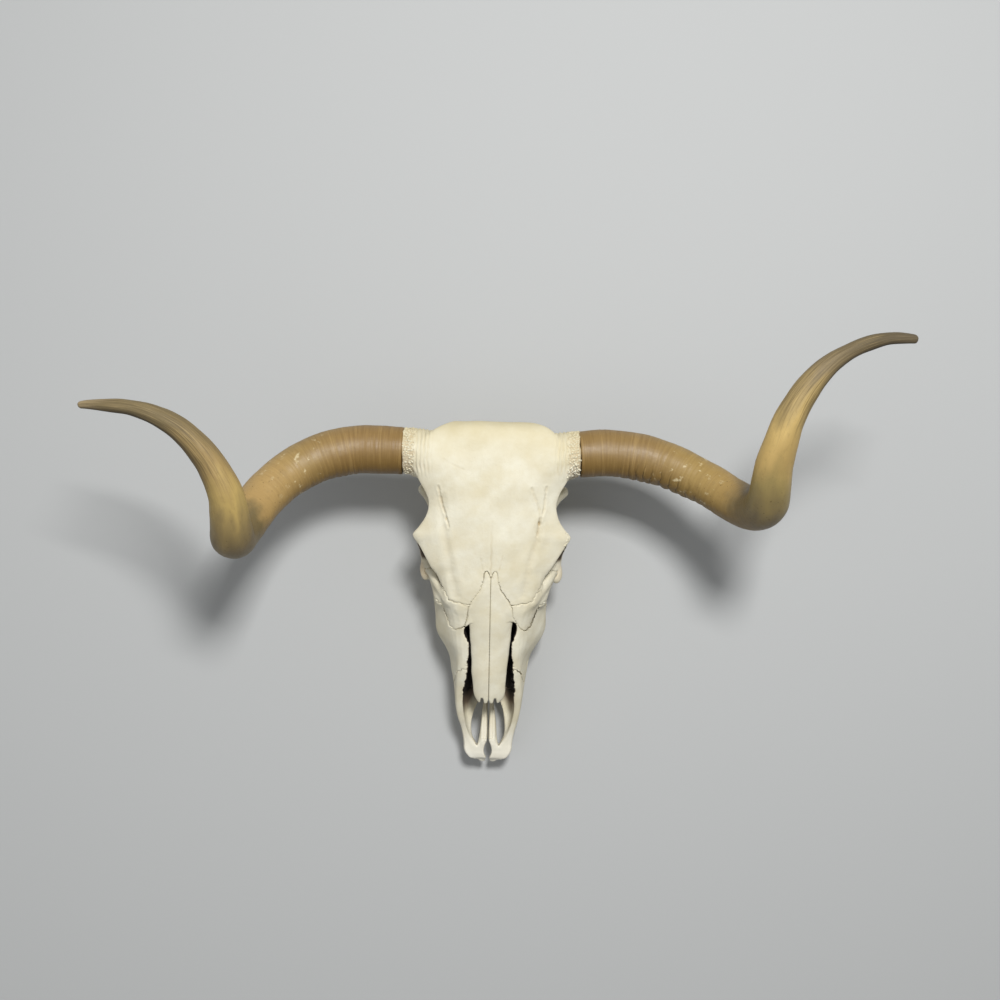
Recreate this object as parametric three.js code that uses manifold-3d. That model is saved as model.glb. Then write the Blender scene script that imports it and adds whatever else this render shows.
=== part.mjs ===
// A longhorn steer skull, life size, lying face up on its cheek teeth and the two bony points beside its
// neck joint.
//
// Millimetres, +Z up. While it is made, x = 0 is the skull's middle plane, y = 0 the tip of its upper jaw,
// y grows towards the back of the head, and z = 0 is the floor. The last lines move it so that the origin
// is the middle of its base. The bones of the head are modelled whole, from lofts, ellipsoids and swept
// bars, and then parted along the sutures with thin cuts. Left and right are the animal's own, so left is
// +X.

import * as THREE from "three";
import { mergeVertices } from "three/addons/utils/BufferGeometryUtils.js";
import Module from "manifold-3d";

const wasm = await Module();
wasm.setup();

// ---------- driving dimensions ----------

const SKULL_LENGTH = 515; // tip of the upper jaw to the poll
const SUTURE = 0.4; // the thin cut between two bones
const SIDES = [
  ["left", 1],
  ["right", -1],
];

const HORN_BASE_Y = 471; // the horn cores leave the head here
const HORN_BASE_Z = 150;
const HORN_BASE_X = { left: 124, right: 130 }; // where each horn's sheath ends
const NECK_RADIUS = 33; // the bare bone between the forehead and the sheath

const TOOTH_LENGTHS = [17, 18, 19, 24, 28, 28]; // three premolars, then three molars
const TOOTH_ROW_START = 162;
const TOOTH_GAP = 1;
const TOOTH_TOP = 32;
const FIRST_MOLAR = 3;
const PREMOLAR_WIDTH = 17; // of the first; each next one is a millimetre wider
const MOLAR_WIDTH = 25;
const TOOTH_CORNER = 4;
const TOOTH_WAIST = 3; // how far the cheek side of a molar is drawn in between its two lobes
const TOOTH_ROW_X = 50;

// A box that holds the nasal bone of one side.
const NASAL_SIDE = 60;
const [NASAL_FRONT, NASAL_BACK] = [60, 320];
const [NASAL_UNDER, NASAL_OVER] = [60, 190];

const ORBIT_CENTRE = [90, 316, 117];
const ORBIT_RADII = [44, 31, 24];

const HEAD_CORNERS = 16; // corners of the sections of the face and forehead
const CAVITY_CORNERS = 12;
const BAR_CORNERS = 7; // corners of the sections of a rim, an arch or a bony point
const BALL_CORNERS = 10;
const HORN_CORNERS = 12;
const HORN_STEPS = 34;

// ---------- solids and booleans ----------

// A closed three.js geometry as a manifold-3d solid.
function solid(geometry) {
  const bare = geometry.index ? geometry.clone() : geometry;
  for (const name of Object.keys(bare.attributes)) if (name !== "position") bare.deleteAttribute(name);
  const merged = mergeVertices(bare, 1e-4);
  return new wasm.Manifold(
    new wasm.Mesh({
      numProp: 3,
      vertProperties: merged.attributes.position.array,
      triVerts: new Uint32Array(merged.index.array),
    }),
  );
}

function geometryOf(made) {
  const mesh = made.getMesh();
  const geometry = new THREE.BufferGeometry();
  const corners = new Float32Array(mesh.vertProperties);
  geometry.setAttribute("position", new THREE.BufferAttribute(corners, mesh.numProp));
  geometry.setIndex(new THREE.BufferAttribute(new Uint32Array(mesh.triVerts), 1));
  geometry.computeVertexNormals();
  return geometry;
}

const joined = (solids) => solids.reduce((sum, next) => sum.add(next));

// The largest body of a solid: a cut can leave crumbs of bone that hang on nothing.
const larger = (one, other) => (other.volume() > one.volume() ? other : one);
const largest = (made) => made.decompose().reduce(larger);

// A drum whose side is drawn out ring by ring: ring(i, k) is corner k of ring i, and k = 0 is the top of
// the drum's section, a quarter of the corners on is its +X side.
function loft(rings, corners, ring) {
  const drum = new THREE.CylinderGeometry(1, 1, 1, corners, rings - 1);
  const at = drum.attributes.position;
  const middles = Array.from({ length: rings }, (_, i) => {
    const middle = new THREE.Vector3();
    for (let k = 0; k < corners; k++) middle.addScaledVector(ring(i, k), 1 / corners);
    return middle;
  });
  for (let v = 0; v < at.count; v++) {
    const i = Math.round((at.getY(v) + 0.5) * (rings - 1));
    const turn = Math.atan2(at.getX(v), at.getZ(v)) / (2 * Math.PI);
    const k = (Math.round(turn * corners) + corners) % corners;
    const onAxis = Math.hypot(at.getX(v), at.getZ(v)) < 0.5;
    const point = onAxis ? middles[i] : ring(i, k);
    at.setXYZ(v, point.x, point.y, point.z);
  }
  return solid(drum);
}

// A loft along Y. Each row is [y, ...sizes], and outline(...sizes) gives the right half of the section as
// [x, z] from its top to its bottom, both on the middle plane. A smooth closed curve through them is the
// section.
function headLoft(rows, outline, corners) {
  const sections = rows.map(([y, ...sizes]) => {
    const half = outline(...sizes);
    const mirrored = half.slice(1, -1).reverse().map(([x, z]) => [-x, z]);
    const points = [...half, ...mirrored].map(([x, z]) => new THREE.Vector3(x, y, z));
    return new THREE.CatmullRomCurve3(points, true, "catmullrom", 0.45);
  });
  return loft(rows.length, corners, (i, k) => sections[i].getPoint(k / corners));
}

// A bar with an elliptical section, swept along a smooth curve. Each stop is [x, y, z, radius] and flat is
// how wide the section is across against its height.
function sweep(stops, corners, steps, flat = 1) {
  const curve = new THREE.CatmullRomCurve3(stops.map(([x, y, z]) => new THREE.Vector3(x, y, z)));
  const radii = new THREE.CatmullRomCurve3(stops.map((stop, i) => new THREE.Vector3(i, stop[3], 0)));
  const frames = curve.computeFrenetFrames(steps, false);
  return loft(steps + 1, corners, (i, k) => {
    const along = i / steps;
    const radius = radii.getPoint(curve.getUtoTmapping(along)).y;
    const turn = (2 * Math.PI * k) / corners;
    return curve
      .getPointAt(along)
      .addScaledVector(frames.normals[i], -radius * Math.sin(turn))
      .addScaledVector(frames.binormals[i], radius * flat * Math.cos(turn));
  });
}

function ellipsoid([x, y, z], [rx, ry, rz], turnZ = 0, turnX = 0) {
  const ball = new THREE.SphereGeometry(1, BALL_CORNERS, BALL_CORNERS / 2 + 2);
  const place = new THREE.Matrix4()
    .makeTranslation(x, y, z)
    .multiply(new THREE.Matrix4().makeRotationZ(turnZ))
    .multiply(new THREE.Matrix4().makeRotationX(turnX))
    .multiply(new THREE.Matrix4().makeScale(rx, ry, rz));
  return solid(ball.applyMatrix4(place));
}

function block([x0, y0, z0], [x1, y1, z1]) {
  const box = new THREE.BoxGeometry(Math.abs(x1 - x0), y1 - y0, z1 - z0);
  return solid(box.translate((x0 + x1) / 2, (y0 + y1) / 2, (z0 + z1) / 2));
}

// A flat outline, a THREE.Shape, given a thickness. "up" keeps it in the X-Y plane and grows along Z.
// "across" takes its points as [y, z] and grows along X.
function prism(shape, from, to, direction) {
  const slab = new THREE.ExtrudeGeometry(shape, { depth: to - from, bevelEnabled: false, curveSegments: 6 });
  slab.translate(0, 0, from);
  if (direction === "across") {
    const [x, y, z] = [new THREE.Vector3(1, 0, 0), new THREE.Vector3(0, 1, 0), new THREE.Vector3(0, 0, 1)];
    slab.applyMatrix4(new THREE.Matrix4().makeBasis(y, z, x));
  }
  return solid(slab);
}

const shapeOf = (points) => new THREE.Shape(points.map(([a, b]) => new THREE.Vector2(a, b)));

function oval(x, y, rx, ry) {
  const shape = new THREE.Shape();
  shape.absellipse(x, y, rx, ry, 0, 2 * Math.PI, false, 0);
  return shape;
}

// The same corners moved out by a distance, for an outline drawn anticlockwise.
const SHARPEST = 0.4; // keeps a sharp corner from running far out when its outline grows

function grown(points, by) {
  return points.map(([a, b], i) => {
    const [pa, pb] = points.at(i - 1);
    const [na, nb] = points[(i + 1) % points.length];
    const before = new THREE.Vector2(b - pb, pa - a).normalize();
    const after = new THREE.Vector2(nb - b, a - na).normalize();
    const out = before.add(after).normalize();
    const spread = Math.max(SHARPEST, out.dot(after));
    return [a + (out.x * by) / spread, b + (out.y * by) / spread];
  });
}

// ---------- the bones of the head, whole ----------

// Jaws and cheeks. Each row: y, half width and height of the upper edge, of the cheek, and of the tooth
// line.
function face() {
  const rows = [
    [0, 8, 37, 11, 32, 8, 27],
    [6, 18, 43, 24.5, 35, 16, 26],
    [19, 26.5, 48, 35.5, 39, 26, 25],
    [48, 32, 57, 40, 43, 31, 25],
    [78, 40.5, 73, 46.5, 51, 35, 25],
    [108, 43, 89, 51.5, 57, 39, 24],
    [140, 41, 106, 55.5, 60, 46, 23],
    [168, 40, 117, 61.5, 62, 54, 23],
    [184, 41, 123, 70, 66, 60, 23],
    [200, 42, 128, 78.5, 70, 63, 24],
    [236, 48, 140, 83.5, 78, 65, 25],
    [268, 62, 147, 84, 89, 62, 28],
    [292, 64, 150, 76, 98, 58, 34],
    [306, 60, 146, 62, 104, 44, 46],
  ];
  const outline = (wt, zt, wc, zc, wb, zb) => [
    [0, zt],
    [wt, zt - 2],
    [(wt + wc) / 2 + 3, (zt + zc) / 2 + 3],
    [wc, zc],
    [(wc + wb) / 2 + 4, (zc + zb) / 2 - 2],
    [wb, zb],
    [0, zb + 5],
  ];
  return headLoft(rows, outline, HEAD_CORNERS);
}

// The broad forehead. Each row: y, half width, height in the middle, height of its edge, and of its
// underside.
function forehead() {
  const rows = [
    [232, 44, 143, 138, 120],
    [256, 60, 150, 133, 112],
    [280, 71, 157, 137, 112],
    [306, 88, 162, 145, 118],
    [338, 111, 169, 148, 124],
    [350, 114, 171, 148, 122],
    [361, 104, 173, 151, 118],
    [376, 95, 176, 156, 112],
    [398, 91.5, 179, 161, 106],
    [428, 104, 183, 170, 104],
    [470, 102, 184, 177, 110],
    [496, 89.5, 181, 173, 118],
    [508, 75, 173, 163, 128],
    [515, 50, 160, 155, 141],
  ];
  const outline = (w, zt, ze, zu) => [
    [0, zt],
    [w * 0.55, zt - 0.2 * (zt - ze)],
    [w - 3, ze + 3],
    [w, ze - 4],
    [w - 7, ze - 12],
    [w * 0.6, (ze + zu) / 2 - 6],
    [0, zu],
  ];
  return headLoft(rows, outline, HEAD_CORNERS);
}

// The back of the head under the poll, where the neck's muscles held on.
function occiput() {
  const rows = [
    [408, 50, 150, 62, 100, 30, 60],
    [426, 70, 160, 98, 90, 40, 52],
    [446, 78, 168, 104, 92, 52, 50],
    [466, 80, 168, 98, 98, 54, 52],
    [482, 72, 160, 84, 106, 46, 62],
  ];
  const outline = (wt, zt, wm, zm, wb, zb) => [
    [0, zt],
    [wt, zt - 4],
    [wm - 4, zm + 22],
    [wm, zm],
    [wm - 10, zm - 18],
    [wb, zb],
    [0, zb],
  ];
  return headLoft(rows, outline, HEAD_CORNERS);
}

// The narrow bar of bone under the brain, from the nasal cavity back to the neck joint.
function skullBase() {
  const rows = [
    [282, 24, 140, 52],
    [310, 26, 146, 54],
    [345, 30, 146, 56],
    [380, 30, 130, 54],
    [430, 30, 110, 50],
    [474, 34, 100, 52],
  ];
  const outline = (w, zt, zb) => [[0, zt], [w, zt - 10], [w, (zt + zb) / 2], [w * 0.7, zb + 3], [0, zb]];
  return headLoft(rows, outline, CAVITY_CORNERS);
}

const SEAT_REACH = 90; // from the middle of the seat to the faces of the block that trims it

// A block with one face in the plane of a horn's seat, x = at, that lies on its +X or -X side.
function beyondSeat(at, side) {
  const [y, z] = [HORN_BASE_Y, HORN_BASE_Z];
  const ends = [at, at + side * SEAT_REACH];
  return block(
    [Math.min(...ends), y - SEAT_REACH, z - SEAT_REACH],
    [Math.max(...ends), y + SEAT_REACH, z + SEAT_REACH],
  );
}

function neckOfHorn(side, sign) {
  const end = HORN_BASE_X[side];
  const stops = [
    [56, 462, 138, 38],
    [84, 468, 144, 36],
    [106, HORN_BASE_Y, 148.5, NECK_RADIUS],
    [end, HORN_BASE_Y, HORN_BASE_Z, NECK_RADIUS + 0.5],
  ];
  const bar = sweep(stops.map(([x, y, z, r]) => [sign * x, y, z, r]), HORN_CORNERS, 5);
  return bar.subtract(beyondSeat(sign * end, sign));
}

// The lower rim of the eye socket runs on as the bar to the jaw joint, and another bar joins it to the
// forehead.
function cheekArch(sign) {
  const hind = [[99.5, 348, 146, 8], [103, 341, 130, 6.5], [102, 328, 112, 6.5], [97, 312, 98, 8.5]];
  const lower = [
    [73, 262, 109, 13],
    [79, 275, 103, 12],
    [92, 295, 94, 11],
    [95, 320, 88, 9],
    [94, 352, 84, 8],
    [90, 384, 85, 7.5],
    [96, 406, 87, 8.5],
    [106, 417, 89, 8],
  ];
  const [post, arch] = [hind, lower].map((stops) => stops.map(([x, y, z, r]) => [sign * x, y, z, r]));
  return [sweep(post, BAR_CORNERS, 5), sweep(arch, BAR_CORNERS, 11)];
}

// The shelf that the lower jaw hung from.
function jawShelf(sign) {
  return ellipsoid([sign * 82, 414, 84], [26, 11, 11], sign * 0.15);
}

// The two knuckles of the neck joint, and the bony points beside them that reach the floor.
function neckJoint(sign) {
  const point = [[66, 462, 70, 13], [62, 460, 48, 11], [57, 455, 24, 8.5], [53, 450, -4, 6]];
  return [
    ellipsoid([sign * 27, 483, 68], [21, 22, 25], sign * -0.35),
    sweep(point.map(([x, y, z, r]) => [sign * x, y, z, r]), BAR_CORNERS, 5, 0.8),
    ellipsoid([sign * 40, 424, 50], [13, 19, 17], sign * 0.3),
  ];
}

// The thin upright plates on either side of the hind nostrils.
function palatePlate(sign) {
  const outline = shapeOf([[282, 24], [300, 26], [326, 36], [352, 50], [352, 72], [282, 72]]);
  return sign > 0 ? prism(outline, 20, 27, "across") : prism(outline, -27, -20, "across");
}

function toothRow(sign) {
  const teeth = [];
  let y = TOOTH_ROW_START;
  TOOTH_LENGTHS.forEach((length, i) => {
    const molar = i >= FIRST_MOLAR;
    const width = molar ? MOLAR_WIDTH : PREMOLAR_WIDTH + i;
    const middle = sign * (TOOTH_ROW_X + 2 * Math.sin((Math.PI * i) / 5) - (molar ? 1 : FIRST_MOLAR - i));
    const lobes = molar ? 2 : 1;
    const shape = new THREE.Shape();
    const [x0, x1] = [middle - width / 2, middle + width / 2];
    const waist = (sign > 0 ? x1 : x0) - sign * TOOTH_WAIST;
    const far = length - TOOTH_GAP;
    shape.moveTo(x0 + TOOTH_CORNER, y);
    shape.lineTo(x1 - TOOTH_CORNER, y);
    shape.quadraticCurveTo(x1, y, x1, y + TOOTH_CORNER);
    if (lobes === 2 && sign > 0) shape.lineTo(waist, y + far / 2);
    shape.lineTo(x1, y + far - TOOTH_CORNER);
    shape.quadraticCurveTo(x1, y + far, x1 - TOOTH_CORNER, y + far);
    shape.lineTo(x0 + TOOTH_CORNER, y + far);
    shape.quadraticCurveTo(x0, y + far, x0, y + far - TOOTH_CORNER);
    if (lobes === 2 && sign < 0) shape.lineTo(waist, y + far / 2);
    shape.lineTo(x0, y + TOOTH_CORNER);
    shape.quadraticCurveTo(x0, y, x0 + TOOTH_CORNER, y);
    const cut = { depth: TOOTH_TOP, bevelEnabled: false, curveSegments: 1 };
    teeth.push(solid(new THREE.ExtrudeGeometry(shape, cut)));
    y += length;
  });
  return teeth;
}

// ---------- what is hollow ----------

// The nasal cavity, open above between the jaws' upper edges. Each row: y, half width, floor and top.
function nasalCavity() {
  const rows = [
    [32, 17, 44, 84],
    [40, 24, 41, 94],
    [50, 29, 39, 104],
    [73, 36.5, 37, 118],
    [98, 38.5, 36, 134],
    [130, 35, 36, 150],
    [160, 32, 36, 160],
    [188, 31, 36, 168],
    [204, 34.5, 36, 172],
    [214, 34.5, 37, 162],
    [224, 28, 38, 138],
    [262, 25, 40, 138],
    [292, 22, 42, 136],
  ];
  const outline = (w, zb, zt) => [[0, zt], [w, zt - 6], [w, (zt + zb) / 2], [w * 0.9, zb + 5], [0, zb]];
  return headLoft(rows, outline, CAVITY_CORNERS);
}

function eyeSocket(sign) {
  const [x, y, z] = ORBIT_CENTRE;
  return ellipsoid([sign * x, y, z], ORBIT_RADII, sign * -0.28);
}

// The dip behind the eye, between the braincase and the cheek arch, under the edge of the forehead.
function templeHollow(sign) {
  const stops = [
    [84, 372, 122, 21],
    [84, 392, 118, 22],
    [88, 412, 116, 19],
    [98, 436, 112, 15],
    [112, 462, 104, 11],
  ];
  return sweep(stops.map(([x, y, z, r]) => [sign * x, y, z, r]), BAR_CORNERS + 2, 6);
}

function hindNostrils() {
  const rows = [
    [284, 17, 62, 34],
    [306, 17, 76, 20],
    [334, 16, 70, 16],
    [352, 12, 56, 20],
  ];
  return headLoft(rows, (w, zt, zb) => [[0, zt], [w, zt - 10], [w, zb + 6], [0, zb]], BAR_CORNERS);
}

// The two long slots in the front of the palate, the notch between the front bones, and the slit behind it.
function palateOpenings() {
  const through = [[-17.6, 61, 7, 33], [17.6, 61, 7, 33], [0, 21, 6, 13]];
  const slots = through.map(([x, y, rx, ry]) => prism(oval(x, y, rx, ry), 5, 60, "up"));
  return [...slots, block([-1.6, 30, 5], [1.6, 112, 60]), block([-3, -4, 5], [3, 14, 60])];
}

function neckCanal() {
  return ellipsoid([0, 492, 84], [18, 34, 16]);
}

// ---------- the nasal bones ----------

// Two long plates that lie side by side along the top of the nose. "lift" raises their upper face only.
function nasalPlate(lift) {
  const rows = [
    [99, 14, 96.5, 5.5],
    [105, 19.5, 99.5, 6.5],
    [130, 23.5, 110, 8],
    [165, 25.5, 121.5, 8.5],
    [200, 28, 133, 8.5],
    [232, 30, 144, 7],
    [254, 28, 150.5, 5.5],
    [276, 20, 156.5, 4],
    [296, 9, 160.5, 2.5],
  ];
  const thick = 4.5;
  const outline = (w, zt, drop) => [
    [0, zt + lift],
    [w * 0.6, zt - drop * 0.3 + lift],
    [w, zt - drop + lift],
    [w - 0.6, zt - drop - thick],
    [w * 0.6, zt - drop * 0.4 - thick],
    [0, zt - thick],
  ];
  return headLoft(rows, outline, CAVITY_CORNERS + 2);
}

// The bed that the nasal bones lie in: their own shape moved each way by the width of a suture, and all
// above it.
function nasalBed() {
  const [plate, above] = [nasalPlate(0), nasalPlate(40)].map(geometryOf);
  const ways = [[1, 0, 0], [-1, 0, 0], [0, 1, 0], [0, -1, 0], [0, 0, -1]];
  const moved = ways.flatMap((way) => {
    const [x, y, z] = way.map((part) => part * SUTURE);
    return [plate.clone().translate(x, y, z), above.clone().translate(x, y, z)];
  });
  return joined(moved.map(solid));
}

function nasalTipNotches() {
  return [-13, 0, 13].map((x) => prism(shapeOf([[x - 3.5, 90], [x + 3.5, 90], [x, 106.5]]), 60, 140, "up"));
}

// ---------- parting the head into its bones ----------

// Where each bone of the face lies, seen from the side as [y, z] anticlockwise, and how far out it starts.
const FAR = 130; // beyond the widest bone
const REGIONS = [
  {
    bone: "premaxilla",
    from: SUTURE / 2,
    outline: [[-20, -10], [112, -10], [112, 46], [122, 66], [150, 108], [166, 126], [166, 190], [-20, 190]],
  },
  {
    bone: "maxilla",
    from: SUTURE / 2,
    outline: [
      [111, -10], [305, -10], [303, 30], [298, 50], [278, 64], [262, 82], [238, 104],
      [228, 128], [224, 190], [160, 190], [148, 108], [120, 66], [111, 46],
    ],
  },
  {
    bone: "lacrimal",
    from: 31,
    outline: [
      [220, 100], [258, 78], [252, 94], [276, 106], [298, 116], [290, 130], [262, 138],
      [246, 150], [240, 190], [220, 190],
    ],
  },
  {
    bone: "zygomatic",
    from: 50,
    outline: [
      [245, 90], [264, 60], [300, 48], [340, 60], [374, 66], [374, 104], [362, 118],
      [336, 118], [310, 120], [290, 112], [275, 107],
    ],
  },
];

// One region as a solid on one side of the head. Grown by a suture, it is what the other bones keep clear
// of.
function regionSolid({ outline, from }, sign, grow) {
  const shape = shapeOf(grow ? grown(outline, grow) : outline);
  const inner = grow && from > SUTURE ? from - grow : from;
  return sign > 0 ? prism(shape, inner, FAR, "across") : prism(shape, -FAR, -inner, "across");
}

function wholeHead() {
  const bone = [face(), forehead(), occiput(), skullBase(), ellipsoid([0, 398, 116], [62, 66, 50])];
  const hollow = [nasalCavity(), hindNostrils(), neckCanal(), ...palateOpenings()];
  for (const [side, sign] of SIDES) {
    bone.push(neckOfHorn(side, sign), ...neckJoint(sign), palatePlate(sign));
    hollow.push(templeHollow(sign));
  }
  const rims = SIDES.flatMap(([, sign]) => [...cheekArch(sign), jawShelf(sign)]);
  const sockets = SIDES.map(([, sign]) => eyeSocket(sign));
  const teeth = SIDES.flatMap(([, sign]) => toothRow(sign));
  const core = joined(bone).subtract(joined(sockets)).subtract(joined(hollow));
  const underFloor = block([-200, -50, -40], [200, 600, 0]);
  return joined([core, ...rims, ...teeth]).subtract(underFloor);
}

function bonesOfHead() {
  const bones = {};
  let rest = wholeHead().subtract(nasalBed());
  for (const region of REGIONS) {
    for (const [side, sign] of SIDES) {
      bones[`${region.bone}_${side}`] = largest(rest.intersect(regionSolid(region, sign, 0)));
      rest = rest.subtract(regionSolid(region, sign, SUTURE));
    }
  }
  bones.cranium = largest(rest);
  const plate = nasalPlate(0).subtract(joined(nasalTipNotches()));
  for (const [side, sign] of SIDES) {
    const [inner, outer] = [sign * (SUTURE / 2), sign * NASAL_SIDE];
    const half = block(
      [Math.min(inner, outer), NASAL_FRONT, NASAL_UNDER],
      [Math.max(inner, outer), NASAL_BACK, NASAL_OVER],
    );
    bones[`nasal_${side}`] = largest(plate.intersect(half));
  }
  return bones;
}

// ---------- the horns ----------

// Stops along each horn's middle line: out from the head, forward and up at the elbow, then back and out
// to the tip. Each is [x, y, z, radius], with x counted outwards from the skull's middle plane.
const HORNS = {
  left: [
    [110, 471, 150, 34.5],
    [166, 474, 149, 34],
    [208, 470, 152, 33.5],
    [244, 461, 158, 32.6],
    [278, 446, 170, 31.6],
    [310, 429, 188, 30.6],
    [337, 410, 212, 30],
    [357, 398, 246, 29.8],
    [368, 402, 286, 28.8],
    [369, 425, 318, 27],
    [368, 457, 342, 24.4],
    [373, 484, 358, 22.4],
    [380, 512, 369, 20.4],
    [392, 539, 376, 18.2],
    [408, 563, 380, 15.8],
    [428, 584, 380, 13.2],
    [451, 601, 377, 11],
    [477, 614, 371, 9.8],
    [505, 622, 364, 8.6],
    [530, 624, 357, 7.2],
    [550, 624, 351, 5],
  ],
  right: [
    [116, 471, 150, 35],
    [165, 472, 150, 35],
    [201, 471, 151, 34.6],
    [236, 463, 156, 34.2],
    [267, 450, 164, 33.6],
    [293, 432, 178, 32.8],
    [315, 410, 198, 32],
    [332, 383, 227, 31],
    [343, 356, 262, 30.4],
    [346, 346, 296, 29.5],
    [343, 364, 328, 26.8],
    [345, 402, 352, 23.2],
    [360, 437, 366, 20],
    [378, 463, 375, 17.6],
    [401, 485, 379, 15.2],
    [430, 501, 380, 12.8],
    [458, 510, 376, 10.8],
    [489, 514, 369, 8.8],
    [522, 515, 360, 6.2],
    [540, 514.5, 355, 4],
  ],
};

function horn(side, sign) {
  const bar = sweep(HORNS[side].map(([x, y, z, r]) => [sign * x, y, z, r]), HORN_CORNERS, HORN_STEPS);
  const seat = HORN_BASE_X[side] + SUTURE;
  return bar.subtract(beyondSeat(sign * seat, -sign));
}

// ---------- materials and the finished model ----------

const BONE = new THREE.MeshStandardMaterial({ color: 0xe6dec6, roughness: 0.75, metalness: 0 });
const NASAL_BONE = new THREE.MeshStandardMaterial({ color: 0xeae2ce, roughness: 0.7, metalness: 0 });
const HORN = new THREE.MeshStandardMaterial({ color: 0xa5834c, roughness: 0.45, metalness: 0 });

const skull = new THREE.Group();
const model = new THREE.Group();

function place(name, made, material) {
  const mesh = new THREE.Mesh(geometryOf(made), material);
  mesh.name = name;
  model.add(mesh);
}

for (const [name, made] of Object.entries(bonesOfHead()))
  place(name, made, name.startsWith("nasal") ? NASAL_BONE : BONE);
for (const [side, sign] of SIDES) place(`horn_${side}`, horn(side, sign), HORN);

const bounds = new THREE.Box3().setFromObject(model);
const middle = bounds.getCenter(new THREE.Vector3());
model.position.set(-middle.x, -middle.y, -bounds.min.z);
skull.add(model);
skull.name = `longhorn_skull_${SKULL_LENGTH}`;

export default skull;
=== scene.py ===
# %% [markdown]
# # The skull of a longhorn steer
#
# A steer's skull is not one bone. The forehead, the nose, the jaws and the cheeks grow apart and knit
# together along wavy sutures, and each horn is a sheath of keratin pushed over a bony core. This lesson
# builds them in that order: a solid head, its hollows, the cuts that part it into bones, the teeth, the
# horns, and last the finishes and the light.

import math
from collections import namedtuple
from functools import partial

import bpy
import numpy as np
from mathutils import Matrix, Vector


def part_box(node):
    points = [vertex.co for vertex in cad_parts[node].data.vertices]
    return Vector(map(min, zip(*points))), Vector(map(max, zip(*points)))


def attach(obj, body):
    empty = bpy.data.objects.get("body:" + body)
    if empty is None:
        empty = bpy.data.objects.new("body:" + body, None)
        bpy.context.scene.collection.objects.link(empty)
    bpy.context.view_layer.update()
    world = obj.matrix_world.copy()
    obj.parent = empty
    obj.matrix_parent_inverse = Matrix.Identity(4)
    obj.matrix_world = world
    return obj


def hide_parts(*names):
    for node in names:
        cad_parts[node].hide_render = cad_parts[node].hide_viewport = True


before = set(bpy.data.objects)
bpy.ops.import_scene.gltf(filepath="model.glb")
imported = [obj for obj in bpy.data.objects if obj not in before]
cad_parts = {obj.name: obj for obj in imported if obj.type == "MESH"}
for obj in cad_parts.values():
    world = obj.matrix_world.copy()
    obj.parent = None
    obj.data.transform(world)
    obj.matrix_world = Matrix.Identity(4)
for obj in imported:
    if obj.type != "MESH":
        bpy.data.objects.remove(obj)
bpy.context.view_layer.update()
print("nodes:", sorted(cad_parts))

# %% [markdown]
# ## Where the head lies
#
# The bones are drawn in millimetres on the skull's own axes: x out from its middle plane, y back from the
# tip of the upper jaw, z up from the floor. The frame tells where those axes are. The two nasal bones meet
# on the middle plane, and the jaw's tip is the frame's front edge. Left is the animal's own left, so it is
# +X.

# %% The skull's axes in the frame
MM = 0.001
SIDES = {"left": 1, "right": -1}

middle_x = (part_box("nasal_left")[0].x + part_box("nasal_right")[1].x) / 2
jaw_tip_y = min(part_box("premaxilla_left")[0].y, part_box("premaxilla_right")[0].y)
ORIGIN = np.array([middle_x, jaw_tip_y, 0.0])


def to_frame(points):
    """Points on the skull's axes, in millimetres, as points of the frame, in metres."""
    return np.asarray(points, float) * MM + ORIGIN


print("middle plane at", round(middle_x / MM, 2), "mm, jaw tip at", round(jaw_tip_y / MM, 2), "mm")

# %% [markdown]
# ## One helper for colours and one for nodes
#
# Colours are picked as sRGB hex and turned to linear light, which is what a shader mixes. Every node tree
# here is written as a list of calls to one function that adds a node, sets it up and links its inputs.

# %% Colour and node helpers
def linear(hex_colour):
    """A linear RGBA colour from an sRGB hex string."""
    values = [int(hex_colour[i : i + 2], 16) / 255 for i in (1, 3, 5)]
    return (*[v / 12.92 if v <= 0.04045 else ((v + 0.055) / 1.055) ** 2.4 for v in values], 1.0)


def add_node(tree, kind, inputs=None, **settings):
    """Adds a node with its settings. Each input gets a value, or a link from a socket or from a node."""
    made = tree.nodes.new(kind)
    for name, value in settings.items():
        setattr(made, name, value)
    for key, value in (inputs or {}).items():
        if isinstance(value, bpy.types.Node):
            value = next(output for output in value.outputs if output.enabled)
        if isinstance(value, bpy.types.NodeSocket):
            tree.links.new(value, made.inputs[key])
        else:
            made.inputs[key].default_value = value
    return made


print("cream bone in linear light:", [round(value, 3) for value in linear("#e0dbc7")])

MATH, VECTOR, AXES = "ShaderNodeMath", "ShaderNodeVectorMath", "ShaderNodeCombineXYZ"
RANGE, MIX, NOISE, MARK = "ShaderNodeMapRange", "ShaderNodeMix", "ShaderNodeTexNoise", "ShaderNodeAttribute"

# %% [markdown]
# ## Bone as a field of distances
#
# Bone swells, thins and flows from one form into the next, with hardly an edge on it. Box modelling could
# follow that, but a field of signed distances does it more simply: each form gives the distance to its
# surface, a smooth minimum melts two forms together, and a smooth maximum carves one out of the other. The
# head is nearly the same on both sides, so the field holds its left half only.

# %% The field
STEP = 1.5  # mm between samples, about the width of a suture
FAR = 40.0  # mm, what the field says where there is no bone near

HALF = ([0, -6, -3], [136, 524, 196])  # mm, the box that holds the left half of the head
WHOLE = ([-136, -6, -3], [136, 524, 196])  # and the one that holds both halves

Shape = namedtuple("Shape", "low high distance")


def smooth_min(a, b, blend):
    """The smaller of two distances, with the crease between them rounded over the blend in mm."""
    mix = np.clip(0.5 + 0.5 * (b - a) / blend, 0, 1)
    return b + (a - b) * mix - blend * mix * (1 - mix)


def smooth_max(a, b, blend):
    """The larger of two distances, rounded in the same way."""
    return -smooth_min(-a, -b, blend)


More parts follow.
